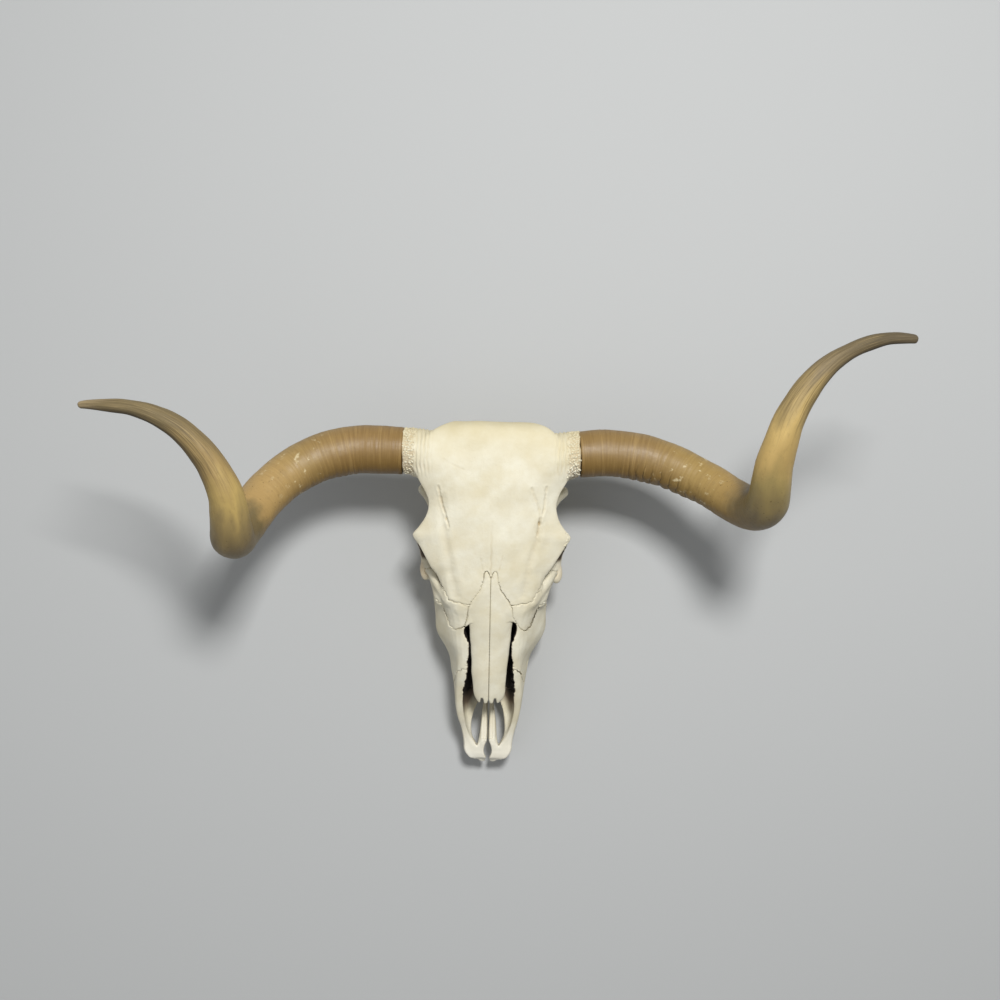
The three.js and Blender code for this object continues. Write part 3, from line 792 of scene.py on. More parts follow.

# %% [markdown]
# ## Wear, age and painted shade
#
# A mirrored head looks machined, so every vertex is nudged along its normal by slow waves that differ from
# side to side. The same step lays in what is too fine for the field: the two vein grooves that run from the
# forehead's holes to the nose, and the ridges that the horns pull up in the bone beside them. It also marks
# how sheltered each vertex is. The hollows are darkened partly by the dust and old fat that stay there while
# the ridges bleach, and partly as painted shade; the grooves and the valleys between the ridges take painted
# shade too.

# %% Sheltered places, darkened by dirt and by painted shade
def box_blur(values, reach):
    """The mean of the samples within a box round each sample."""
    for axis in range(3):
        count = values.shape[axis]
        total = np.cumsum(values, axis=axis, dtype=np.float32)
        ahead = np.take(total, np.minimum(np.arange(count) + reach, count - 1), axis=axis)
        behind = np.arange(count) - reach - 1
        back = np.take(total, np.maximum(behind, 0), axis=axis)
        shape = [-1 if n == axis else 1 for n in range(3)]
        values = (ahead - back * (behind >= 0).reshape(shape)) / (2 * reach + 1)
    return values


nose = Field(*HALF)
for hollow in [NOSE_HOLLOW, *BITES]:
    nose.add(hollow)
socket = Field(*HALF)
socket.add(EYE_SOCKET)

DIRT_AND_SHADE_REACH = 6  # samples, about 9 mm
dirt_and_shade = Field(*WHOLE)
dirt_and_shade.axes = cranium_field.axes
whole = np.concatenate([head.value[:0:-1], head.value])
dirt_and_shade.value = box_blur(box_blur((whole < 0).astype(np.float32), DIRT_AND_SHADE_REACH), DIRT_AND_SHADE_REACH // 2)
print("shelter from", round(float(dirt_and_shade.value.min()), 2), "to", round(float(dirt_and_shade.value.max()), 2))

# %% Grooves, ridges and slow waves
JAW_TIP_Y = 0.3  # mm, no vertex moves further forward than this
COLLAR_WIDTH = 17  # mm of rough bone between the head and each sheath
COLLAR_FRONT = 420  # mm, the collars lie behind this
FINE_LINES = {  # line on the bone seen from above, its depth and half width in mm
    "right": [
        ([(78, 421), (75, 406), (72, 393), (67, 380), (64.4, 372), (62, 362)], 1.5, 1.2),
        ([(74, 404), (70, 368), (66, 343), (58, 300), (49, 262)], 1.1, 4.5),
        ([(12, 299), (15, 318)], 0.5, 0.8),
        ([(31, 246), (46, 251), (60, 256)], 0.5, 1.2),
        ([(70.9, 460), (56, 451), (41.3, 445)], 0.4, 0.7),
    ],
    "left": [
        ([(56, 420), (62, 405), (69, 387), (68.5, 372)], 1.2, 1.3),
        ([(77.5, 422), (74.5, 391), (69, 372), (66, 352)], 1.3, 1.3),
        ([(68.5, 370), (65, 344), (55, 311), (48, 264)], 1.1, 4.0),
        ([(12, 300), (16, 322)], 0.5, 0.8),
    ],
}
EYE_VEIN_HOLE = {"left": (68.4, 369.5, 4.5), "right": (66.5, 374, 2.5)}  # x, y and depth
RIDGE_HEIGHT = {"left": 1.35, "right": 1.1}  # mm, the ridges that each horn pulls up beside it
SEAM_DEPTH, ROD_GROOVE, SPONGE_RELIEF = 0.6, 2, 0.45  # mm
SLOW_WAVES = [  # direction in 1/mm and height in mm of each wave
    ((0.061, 0.043, 0.052), 0.45),
    ((-0.047, 0.092, 0.033), 0.35),
    ((0.118, -0.071, 0.088), 0.22),
    ((-0.19, 0.16, 0.21), 0.12),
]


def by_side(x, values):
    """The value for the side that each vertex is on."""
    return np.where(x > 0, values["left"], values["right"])


def line_distance(points, line):
    """How far points are from a bent line, seen from above."""
    nearest = np.full(len(points), 1e9)
    for (ax, ay), (bx, by) in zip(line[:-1], line[1:]):
        dx, dy = bx - ax, by - ay
        from_x, from_y = points[:, 0] - ax, points[:, 1] - ay
        t = np.clip((from_x * dx + from_y * dy) / (dx**2 + dy**2), 0, 1)
        nearest = np.minimum(nearest, np.hypot(from_x - t * dx, from_y - t * dy))
    return nearest


def aged(points, normals):
    """Vertices with the forms too fine for the field, and how deep in grooves each is, for painted shade."""
    x, y, z = points.T
    raised = sum(height * np.sin(points @ np.array(way) + 7 * height) for way, height in SLOW_WAVES)
    on_top = np.clip(normals[:, 2] * 2 - 0.6, 0, 1)
    out = np.abs(x)
    vein_shade, hollow = np.zeros(len(x)), np.zeros(len(x))
    for side, sign in SIDES.items():
        own = on_top * (x * sign > 0) * (z > 95)
        flat = np.column_stack([out, y])
        for line, depth, half_width in FINE_LINES[side]:
            wobble = 0.5 * np.sin(y * 0.4 + 5 * depth) + 0.4 * np.sin(y * 0.93)
            away = (line_distance(flat, line) + wobble * 0.6) / half_width
            trough = np.exp(-(away**2)) * own
            hollow += depth * (trough - 0.3 * np.exp(-((away - 2.3) ** 2)) * own)
            vein_shade = np.maximum(vein_shade, 0.6 * trough * min(1, 1.6 / half_width))
        hole_x, hole_y, depth = EYE_VEIN_HOLE[side]
        pit = np.exp(-((out - hole_x) ** 2 / 3 + (y - hole_y) ** 2 / 7)) * own
        hollow += depth * pit
        vein_shade = np.maximum(vein_shade, 1.5 * pit)
    seam = np.exp(-(((x - 0.4 * np.sin(y * 0.35)) / 1.1) ** 2)) * on_top * np.clip((y - 284) / 8, 0, 1)
    seam *= np.clip((372 - y) / 40, 0, 1)
    near_horn = np.clip((out - 84) / 10, 0, 1) * np.clip((y - 432) / 12, 0, 1)
    swing = 0.9 * np.sin(y * 0.11 + np.sign(x)) + 0.5 * np.sin(y * 0.27 + out * 0.2)
    height = 0.7 + 0.3 * np.sin(y * 0.19 + out)
    ridges = np.sin(out * 1.12 + 2.4 * ((y - 474) / 38) ** 2 + swing) * height * near_horn
    rods = np.exp(-(((out - 6) / 1.3) ** 2)) * np.clip((y - 30) / 8, 0, 1) * (y < 112) * (z < 54) * on_top
    neck_end = by_side(x, NECK_END)
    from_collar, to_end = out - neck_end + COLLAR_WIDTH, neck_end - out
    spongy = np.clip(from_collar / 3, 0, 1) * (y > COLLAR_FRONT) * np.clip(to_end / 2, 0, 1)
    pits = np.sin(x * 1.7 + 1.3 * np.sin(z * 0.9)) * np.sin(y * 1.5 + 1.1 * np.sin(z * 1.1))
    pits = pits + 0.6 * np.sin(z * 2.3 + y)
    ridges = ridges * (1 - spongy)
    raised = raised + by_side(x, RIDGE_HEIGHT) * ridges - hollow - SEAM_DEPTH * seam - ROD_GROOVE * rods
    raised = raised + SPONGE_RELIEF * spongy * pits
    in_midline = (out < 1.5) * np.clip(3 * np.abs(normals[:, 0]) - 1.5, 0, 1)
    raised = raised * (1 - in_midline)  # so the midline stays shut
    # the valleys between those ridges get painted shade
    valley_shade = 0.9 * np.clip(-ridges - 0.1, 0, 1)
    moved = points + normals * raised[:, None]
    moved[:, 1:] = np.maximum(moved[:, 1:], [JAW_TIP_Y, 0])  # never past the jaw's tip or into the floor
    return moved, np.maximum.reduce([vein_shade, seam, 0.8 * rods, valley_shade])


LEFT_SLIT_OUT, LEFT_SLIT_BACK = 2.4, 8  # mm


def lopsided(points):
    """The slit on the animal's left lies a little further out and ends further back than the other one."""
    x, y, z = points.T
    near = np.exp(-(((x - 33) / 9) ** 2)) * np.clip((z - 84) / 12, 0, 1)
    out = LEFT_SLIT_OUT * near * np.clip((y - 106) / 14, 0, 1) * np.clip((232 - y) / 16, 0, 1)
    back = LEFT_SLIT_BACK * near * np.exp(-(((y - 212) / 15) ** 2))
    return points + np.column_stack([out, back, 0 * z])


print("fine lines:", {side: len(lines) for side, lines in FINE_LINES.items()})

# %% [markdown]
# ## A piece for every bone
#
# Each bone becomes an object of its own. It rides on the frame's only body, stands in for the solid of the
# same name, and keeps a few numbers on every vertex for its finish: how sheltered it is, for dirt and painted
# shade, how deep in the grooves it is, for painted shade, how far inside the nose or an eye socket, for a
# brown lining and painted shade, and whether it is on a rough collar or on the knob in front of the eye's
# bar.

# %% Make an object from points and quads
BODY = "root"
KNOB_STAIN = {"left": 0.5, "right": 1.0}  # one knob is browner than the other
KNOB_X, KNOB_Y = 100, 299  # mm, the middle of the stain


def marks_of(points, groove_shade, normals, roof=False):
    """What the finish reads at each vertex."""
    x, y, z = points.T
    one_side = np.column_stack([np.abs(x), y, z])
    from_front = y - 91 + 16 * np.clip((np.abs(x) - 24) / 8, 0, 1)
    # the inside of the nose turns brown, and near-black as painted shade further in
    lining_and_shade = np.clip((2 - sampled(nose, one_side)) / 1.6, 0, 1) * np.clip(from_front / 44, 0, 1)
    if roof:  # only the underside of the nasal bones takes the nose's brown lining and painted shade
        lining_and_shade = lining_and_shade * np.clip(0.2 - 2 * normals[:, 2], 0, 1)
    skin = 80 + 0.43 * (y - 108)  # mm: above this height, what looks up is the outside beside the slit
    lining_and_shade = lining_and_shade * (1 - np.clip((z - skin) / 4, 0, 1) * np.clip(normals[:, 2] * 3 - 1.2, 0, 1))
    start = by_side(x, NECK_END) - COLLAR_WIDTH
    edge = np.abs(x) - start + 2 * np.sin(y * 0.5) + 1.5 * np.sin(z * 0.63 + y * 0.2)
    collar = np.clip(edge / 3, 0, 1) * (y > COLLAR_FRONT)
    from_knob = np.hypot((np.abs(x) - KNOB_X) / 8, (y - KNOB_Y) / 16)
    knob = np.clip(1.5 - from_knob, 0, 1) * np.clip((108 - z) / 6, 0, 1) * by_side(x, KNOB_STAIN)
    # faces inside an eye socket that turn inwards darken too, partly from dust and fat, partly as painted shade
    in_socket = np.clip((4 - sampled(socket, one_side)) / 3, 0, 1) * (z < 139) * np.clip((y - 311) / 8, 0, 1)
    inward = np.clip(2.6 - 2.8 * normals[:, 0] * np.sign(x), 0, 1)
    lining_and_shade = np.maximum(lining_and_shade, 0.6 * in_socket * inward * (1 - knob))
    # how enclosed each vertex is, for a darker colour that is partly dirt and partly painted shade
    sheltered = sampled(dirt_and_shade, points)
    return {"dirt_and_shade": sheltered, "groove_shade": groove_shade, "lining_and_shade": lining_and_shade, "collar": collar, "knob": knob}


def make_piece(name, points, quads, material, attributes=None, nodes=()):
    """A mesh object at the origin, in the frame's metres, that rides on the body."""
    mesh = bpy.data.meshes.new(name)
    mesh.from_pydata(to_frame(points), [], quads.tolist())
    for label, values in (attributes or {}).items():
        mesh.attributes.new(label, "FLOAT", "POINT").data.foreach_set("value", np.asarray(values, np.float32))
    mesh.shade_smooth()
    mesh.materials.append(material)
    piece = bpy.data.objects.new(name, mesh)
    bpy.context.scene.collection.objects.link(piece)
    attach(piece, BODY)
    if nodes:
        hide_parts(*nodes)
    print(f"{name}: {len(points)} vertices, {2 * len(quads)} triangles")
    return piece


# %% [markdown]
# ## The finishes
#
# ** Bleached bone** is mineral with the fat boiled out: matt, cream, slightly see-through at thin edges,
# with pores a few tenths of a millimetre wide and tan stains where it is sheltered, which are partly painted
# shade. Painted shade darkens its grooves and eye sockets too, and near-black painted shade fills the nose.
# **Tooth enamel** is harder, smoother and yellower, with brown cementum down its sides. **Horn** is keratin,
# laid down in cones one inside the next, so its colour runs in fibres along the horn and its relief in
# rings across it; boiling and waxing leave it satin.

# %% Bleached bone
POLL_FROM, POLL_TO = to_frame([0, 452, 0])[1], to_frame([0, 522, 0])[1]  # the poll keeps more of its fat
TIP_FROM, TIP_TO = to_frame([0, 84, 0])[1], to_frame([0, 12, 0])[1]  # and the bone is lighter towards the jaw's tip
BONE_MARKS = ["dirt_and_shade", "groove_shade", "lining_and_shade", "collar", "knob"]
BONE_LAYERS = [  # a mark or pattern, where it starts and where it is full, how much of it, and its colour
    ("speckle", 0.6, 0.74, 0.3, "#bfae8a"),
    ("patches", 0.5, 0.7, 0.4, "#cabd95"),
    # sheltered hollows, darker partly from dirt and partly as painted shade
    ("dirt_and_shade", 0.58, 0.82, 0.92, "#7d6138"),
    # painted shade in the grooves, the seams and the valleys between ridges
    ("groove_shade", 0.0, 2.0, 0.9, "#b7a681"),
    ("knob", 0.0, 1.0, 0.4, "#c8a87e"),
    # inside the nose and the eye sockets: a brown lining, then near-black painted shade
    ("lining_and_shade", 0.0, 0.4, 0.9, "#66503a"),
    ("lining_and_shade", 0.3, 0.8, 0.96, "#120c07"),
    ("spongy", 0.0, 1.0, 1.0, "#b49f7d"),
    ("back", POLL_FROM, POLL_TO, 0.7, "#c6b88c"),
    ("back", TIP_FROM, TIP_TO, 0.6, "#f0ece0"),
]


def bone_material():
    """Cream clouds, the stains and painted shade of the table over them, and pores in the surface."""
    material = bpy.data.materials.new("bleached_bone")
    material.use_nodes = True
    tree = material.node_tree
    node = partial(add_node, tree)
    shader = tree.nodes["Principled BSDF"]
    place = node("ShaderNodeTexCoord").outputs["Object"]

    # what each vertex was marked with, and patterns on the object's own axes
    of = {name: node(MARK, attribute_name=name).outputs["Fac"] for name in BONE_MARKS}
    of["speckle"] = node(NOISE, {"Vector": place, "Scale": 420, "Detail": 3, "Roughness": 0.7})
    of["patches"] = node(NOISE, {"Vector": place, "Scale": 15, "Detail": 4, "Roughness": 0.6})
    of["back"] = node("ShaderNodeSeparateXYZ", {0: place}).outputs["Y"]
    cells = node("ShaderNodeTexVoronoi", {"Vector": place, "Scale": 300, "Randomness": 1.0})
    holes = node(RANGE, {0: cells, 1: 0.2, 2: 0.6, 3: 0.3, 4: 0.7})
    of["spongy"] = node(MATH, {0: holes, 1: of["collar"]}, operation="MULTIPLY")

    # cream clouds about 40 mm wide, then each stain or painted shade over the last
    clouds = node(NOISE, {"Vector": place, "Scale": 28, "Detail": 5, "Roughness": 0.6})
    colour = node("ShaderNodeValToRGB", {"Fac": clouds})
    for stop, (at, hex_colour) in zip(colour.color_ramp.elements, [(0.3, "#d3caae"), (0.68, "#e0dbc7")]):
        stop.position, stop.color = at, linear(hex_colour)
    for name, start, full, most, hex_colour in BONE_LAYERS:
        amount = node(RANGE, {0: of[name], 1: start, 2: full, 3: 0.0, 4: most})
        colour = node(MIX, {0: amount, 6: colour, 7: linear(hex_colour)}, data_type="RGBA")

    # pores about a millimetre apart, and the grain between them
    pores = node("ShaderNodeTexVoronoi", {"Vector": place, "Scale": 900})
    pits = node(RANGE, {0: pores, 1: 0.05, 2: 0.35, 3: -1.0, 4: 0.0})
    grain = node(NOISE, {"Vector": place, "Scale": 160, "Detail": 6, "Roughness": 0.65})
    height = node(MATH, {0: pits, 1: 0.35, 2: grain}, operation="MULTIPLY_ADD")
    bump = node("ShaderNodeBump", {"Strength": 0.5, "Distance": 0.0011, "Height": height})
    rough = node(RANGE, {0: clouds, 1: 0.3, 2: 0.7, 3: 0.62, 4: 0.8})
    tree.links.new(colour.outputs[2], shader.inputs["Base Color"])
    tree.links.new(rough.outputs[0], shader.inputs["Roughness"])
    tree.links.new(bump.outputs["Normal"], shader.inputs["Normal"])
    shader.inputs["IOR"].default_value = 1.5
    return material


BONE = bone_material()
print("material:", BONE.name)

# %% The bones as pieces
for bone, field in bone_fields.items():
    net_points, net_quads = largest_body(*surface_net(field))
    for side, sign in SIDES.items():
        points = net_points * [sign, 1, 1]
        quads = net_quads if sign > 0 else net_quads[:, ::-1]
        normals = slope_of(field, net_points) * [sign, 1, 1]
        points, groove_shade = aged(points, normals)
        marks = marks_of(points, groove_shade, normals, roof=bone == "nasal")
        make_piece(f"{bone}_bone_{side}", lopsided(points), quads, BONE, marks, nodes=[f"{bone}_{side}"])

for name, field in {"braincase_bone": braincase_field, "forehead_bone": cranium_field}.items():
    points, quads = largest_body(*surface_net(field))
    normals = slope_of(field, points)
    points, groove_shade = aged(points, normals)
    make_piece(name, points, quads, BONE, marks_of(points, groove_shade, normals), nodes=["cranium"])
forehead_surface = points, quads, normals  # the last one made, on which the burrs will grow

# %% [markdown]
# ## The burrs round the horn cores
#
# Where each sheath starts, the bone is crusted with small pearls. There are some hundreds of them and no
# two alike, so nobody would place them by hand: a node tree scatters points over the rough collar of the
# cranium, puts a lump on each, presses it flat and turns it to face outwards.

# %% A tree that crusts a surface with pearls
PEARL_SIZES = {"Spacing": 3.2 * MM, "Smallest": 1.0 * MM, "Largest": 2.4 * MM}


def pearl_tree():
    """Scatters points over a surface and sets a pressed pearl on each."""
    tree = bpy.data.node_groups.new("bone_pearls", "GeometryNodeTree")
    node = partial(add_node, tree)
    socket = tree.interface.new_socket
    socket("Collar", in_out="INPUT", socket_type="NodeSocketGeometry")
    for name, value in PEARL_SIZES.items():
        socket(name, in_out="INPUT", socket_type="NodeSocketFloat").default_value = value
    socket("Finish", in_out="INPUT", socket_type="NodeSocketMaterial")
    socket("Pearls", in_out="OUTPUT", socket_type="NodeSocketGeometry")
    given = node("NodeGroupInput").outputs
    points = node(
        "GeometryNodeDistributePointsOnFaces",
        {"Mesh": given["Collar"], "Distance Min": given["Spacing"], "Density Max": 300000.0, "Seed": 5},
        distribute_method="POISSON",
    ).outputs
    lump = node("GeometryNodeMeshUVSphere", {"Segments": 8, "Rings": 5, "Radius": 1.0})
    sizes = {2: given["Smallest"], 3: given["Largest"], "Seed": 8}
    size = node("FunctionNodeRandomValue", sizes, data_type="FLOAT")
    shapes = {0: (0.7, 0.7, 0.35), 1: (1.5, 1.1, 0.7), "Seed": 3}
    squash = node("FunctionNodeRandomValue", shapes, data_type="FLOAT_VECTOR")
    scale = node(VECTOR, {0: squash, "Scale": size}, operation="SCALE")
    turned = {"Points": points["Points"], "Rotation": points["Rotation"], "Instance": lump, "Scale": scale}
    placed = node("GeometryNodeInstanceOnPoints", turned)
    real = node("GeometryNodeRealizeInstances", {0: placed})
    smooth = node("GeometryNodeSetShadeSmooth", {0: real})
    done = node("GeometryNodeSetMaterial", {"Geometry": smooth, "Material": given["Finish"]})
    node("NodeGroupOutput", {0: done})
    return tree


# %% Run a tree and keep its plain mesh
def outcome_of(maker, tree, sizes):
    """Runs a node tree on an object with the given sizes, and returns the plain mesh that it makes."""
    modifier = maker.modifiers.new("maker", "NODES")
    modifier.node_group = tree
    for item in tree.interface.items_tree:
        if item.in_out == "INPUT" and item.name in sizes:
            modifier[item.identifier] = sizes[item.name]
    graph = bpy.context.evaluated_depsgraph_get()
    graph.update()
    result = maker.evaluated_get(graph)
    made = bpy.data.meshes.new_from_object(result, preserve_all_data_layers=True, depsgraph=graph)
    maker.modifiers.remove(modifier)
    return made


# %% Crust the collars
PEARL_TREE = pearl_tree()
points, quads, normals = forehead_surface
for side, sign in SIDES.items():
    out = points[:, 0] * sign
    ragged_edge = NECK_END[side] - COLLAR_WIDTH + 2 * np.sin(points[:, 1] * 0.7)
    crusted = (out > ragged_edge) & (np.abs(normals[:, 0]) < 0.75)
    faces = quads[crusted[quads].all(axis=1)]
    used, corners = np.unique(faces, return_inverse=True)
    collar_mesh = bpy.data.meshes.new(f"collar_{side}")
    collar_mesh.from_pydata(to_frame(points[used]), [], corners.reshape(faces.shape).tolist())
    burr = bpy.data.objects.new(f"horn_burr_{side}", collar_mesh)
    bpy.context.scene.collection.objects.link(burr)
    burr.data = outcome_of(burr, PEARL_TREE, {"Finish": BONE})
    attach(burr, BODY)
    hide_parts("cranium")
    print(f"{burr.name}: {len(burr.data.polygons)} faces")

# %% [markdown]
# ## The cheek teeth
#
# A grown steer has three premolars and three molars in a row on each side. Each is a tall column of folded
# enamel, one lobe to a premolar and two to a molar, worn flat by grinding, with crescents of softer stuff
# sunk between the enamel ridges. A plan of rounded boxes drawn upwards gives the columns, and two arcs cut
# into each lobe give the crescents.

# %% Tooth enamel
def enamel_material():
    """Cream enamel with brown streaks up its sides, evener where it meets the jaw."""
    material = bpy.data.materials.new("worn_tooth_enamel")
    material.use_nodes = True
    tree = material.node_tree
    node = partial(add_node, tree)
    shader = tree.nodes["Principled BSDF"]
    place = node("ShaderNodeTexCoord").outputs["Object"]
    # stains 6 mm wide and 20 mm tall
    tall = node("ShaderNodeMapping", {"Vector": place, "Scale": (170, 170, 50)})
    streaks = node(NOISE, {"Vector": tall, "Scale": 1.0, "Detail": 4, "Roughness": 0.6})
    colour = node("ShaderNodeValToRGB", {"Fac": streaks})
    for stop, (at, hex_colour) in zip(colour.color_ramp.elements, [(0.34, "#97805a"), (0.54, "#dfd2b0")]):
        stop.position, stop.color = at, linear(hex_colour)
    up = node("ShaderNodeSeparateXYZ", {0: place}).outputs["Z"]
    gum = node(RANGE, {0: up, 1: 0.004, 2: 0.022, 3: 0.15, 4: 0.75})
    colour = node(MIX, {0: gum, 6: colour, 7: linear("#c8b994")}, data_type="RGBA")
    bump = node("ShaderNodeBump", {"Strength": 0.3, "Distance": 0.0005, "Height": streaks})
    tree.links.new(colour.outputs[2], shader.inputs["Base Color"])
    tree.links.new(bump.outputs["Normal"], shader.inputs["Normal"])
    shader.inputs["Roughness"].default_value = 0.34
    shader.inputs["IOR"].default_value = 1.62
    return material


# %% Six teeth a side
TOOTH_LENGTHS = [17, 18, 19, 24, 28, 28]  # mm along the jaw: three premolars, then three molars
TOOTH_START, TOOTH_TOP = 162, 30  # mm, where the row starts along the jaw and where the roots end
MOLARS_FROM = 3  # the first molar, counted from nought
MOLAR_WIDTH, FIRST_WIDTH = 25, 17  # mm, and each premolar is 1 mm wider than the one before
RIB_RADIUS, CRESCENT_DEPTH = 1.9, 1.6  # mm
TOOTH_STEP = 0.8  # mm between samples, for the thin crescents
CRESCENTS = ((0.14, 1.3), (-0.2, 1.0))  # share of the width off the middle, and half thickness in mm


def rounded_box(x, y, middle, half, corner):
    """Signed distance in plan to a rectangle with rounded corners."""
    over_x = np.abs(x - middle[0]) - (half[0] - corner)
    over_y = np.abs(y - middle[1]) - (half[1] - corner)
    outside = np.hypot(np.maximum(over_x, 0), np.maximum(over_y, 0))
    return outside + np.minimum(np.maximum(over_x, over_y), 0) - corner


def tooth_row():
    """A field with one side's teeth, from the floor up into the jaw."""
    field = Field([30, 156, -2], [74, 302, TOOTH_TOP + 2], TOOTH_STEP)
    x, y, z = field.axes[0][:, None, None], field.axes[1][None, :, None], field.axes[2][None, None, :]
    start = TOOTH_START
    for i, length in enumerate(TOOTH_LENGTHS):
        molar = i >= MOLARS_FROM
        width = MOLAR_WIDTH if molar else FIRST_WIDTH + i
        centre_x = 50 + 2 * math.sin(math.pi * i / 5) - (1 if molar else 3 - i)
        lobes = 2 if molar else 1
        lobe = (length - 1) / lobes
        tooth = None
        for n in range(lobes):
            middle = (centre_x, start + lobe * (n + 0.5))
            column = rounded_box(x, y, middle, (width / 2, lobe / 2 + 0.4), min(5.5, lobe / 2 - 0.5))
            rib = np.hypot(x - centre_x - width / 2 + 0.6, y - middle[1]) - RIB_RADIUS
            column = smooth_min(column, rib, 2)
            tooth = column if tooth is None else smooth_min(tooth, column, 1.6)
        crescents = FAR
        for n in range(lobes):
            middle_y = start + lobe * (n + 0.5)
            bow = 0.12 * (y - middle_y) ** 2 / lobe * 4
            for share, thick in CRESCENTS:
                arc = np.abs(x - centre_x - width * share + bow) - thick
                crescents = np.minimum(crescents, np.maximum(arc, np.abs(y - middle_y) - lobe * 0.33))
        tooth = smooth_max(tooth + 0 * z, -np.maximum(crescents, z - CRESCENT_DEPTH), 0.5)
        field.value = np.minimum(field.value, tooth + 0.02 * z)
        start += length
    field.value = np.maximum(field.value, np.maximum(-z, z - TOOTH_TOP)).astype(np.float32)
    return field


teeth = tooth_row()
tooth_points, tooth_quads = surface_net(teeth, easing=2)
tooth_points[:, 2] = np.maximum(tooth_points[:, 2], 0)
ENAMEL = enamel_material()
for side, sign in SIDES.items():
    quads = tooth_quads if sign > 0 else tooth_quads[:, ::-1]
    make_piece(f"cheek_teeth_{side}", tooth_points * [sign, 1, 1], quads, ENAMEL, nodes=[f"maxilla_{side}"])

# %% [markdown]
# ## Growing the horns
#
# A horn follows one rule all the way: a ring of growth is added at its base, a little wider than the last,
# while the head's growth turns it outward, down, round and up again. So each horn is a straight tapering
# rod wrapped along a bent path. Geometry Nodes do that well: a grid stands for the straight rod, Sample
# Curve gives the path's place, direction and girth at each row, and every form across or along the horn is
# a displacement worked out on the straight rod.

# %% The two paths
HORN_PATHS = {  # x outward, y, z and radius, from the seat to the tip
    "right": [
        (130.3, 471, 150, 34.5), (165, 472, 150, 35), (201, 471, 151, 34.6), (236, 463, 156, 34.2),
        (267, 450, 164, 33.6), (293, 432, 178, 32.8), (315, 410, 198, 32), (332, 383, 227, 31),
        (343, 356, 262, 30.4), (346, 346, 296, 29.5), (343, 364, 328, 26.8), (345, 402, 352, 23.2),
        (360, 437, 366, 20), (378, 463, 375, 17.6), (401, 485, 379, 15.2), (430, 501, 380, 12.8),
        (458, 510, 376, 10.8), (489, 514, 369, 8.8), (522, 515, 360, 6.2), (539, 514.5, 355, 4),
    ],
    "left": [
        (124.3, 471, 150, 34), (166, 474, 149, 34), (208, 470, 152, 33.5), (244, 461, 158, 32.6),
        (278, 446, 170, 31.6), (310, 429, 188, 30.6), (337, 410, 212, 30), (357, 398, 246, 29.8),
        (368, 402, 286, 28.8), (369, 425, 318, 27), (368, 457, 342, 24.4), (373, 484, 358, 22.4),
        (380, 512, 369, 20.4), (392, 539, 376, 18.2), (408, 563, 380, 15.8), (428, 584, 380, 13.2),
        (451, 600.4, 377, 11), (477, 613, 371, 9.8), (505, 621, 364, 8.6), (530, 623, 357, 7.2),
        (549, 623, 351, 5.2),
    ],
}
HORN_SIZES = {  # mm, and a seed that shifts the patterns
    "right": {"Ring Spacing": 3.4, "Ring Height": 0.5, "Fold Height": 1.0, "Fold Spacing": 10.0, "Seed": 3.0},
    "left": {"Ring Spacing": 3.8, "Ring Height": 0.5, "Fold Height": 2.8, "Fold Spacing": 15.0, "Seed": 11.0},
}
for side, stops in HORN_PATHS.items():
    chords = np.linalg.norm(np.diff(np.array(stops)[:, :3], axis=0), axis=1)
    print(f"{side} horn: {chords.sum():.0f} mm along its bend")

# %% A tree that wraps a rod along a path
HORN_COLUMNS, HORN_ROWS = 96, 560
SEAT_ROWS = 4 / HORN_ROWS  # the share of the rows that closes the flat seat
ROD_RADIUS = 30.0  # mm, the girth on which patterns are drawn
TIP_LENGTH = 4.5  # mm that are rounded off
UNEVEN = 3.2  # mm of slow unevenness


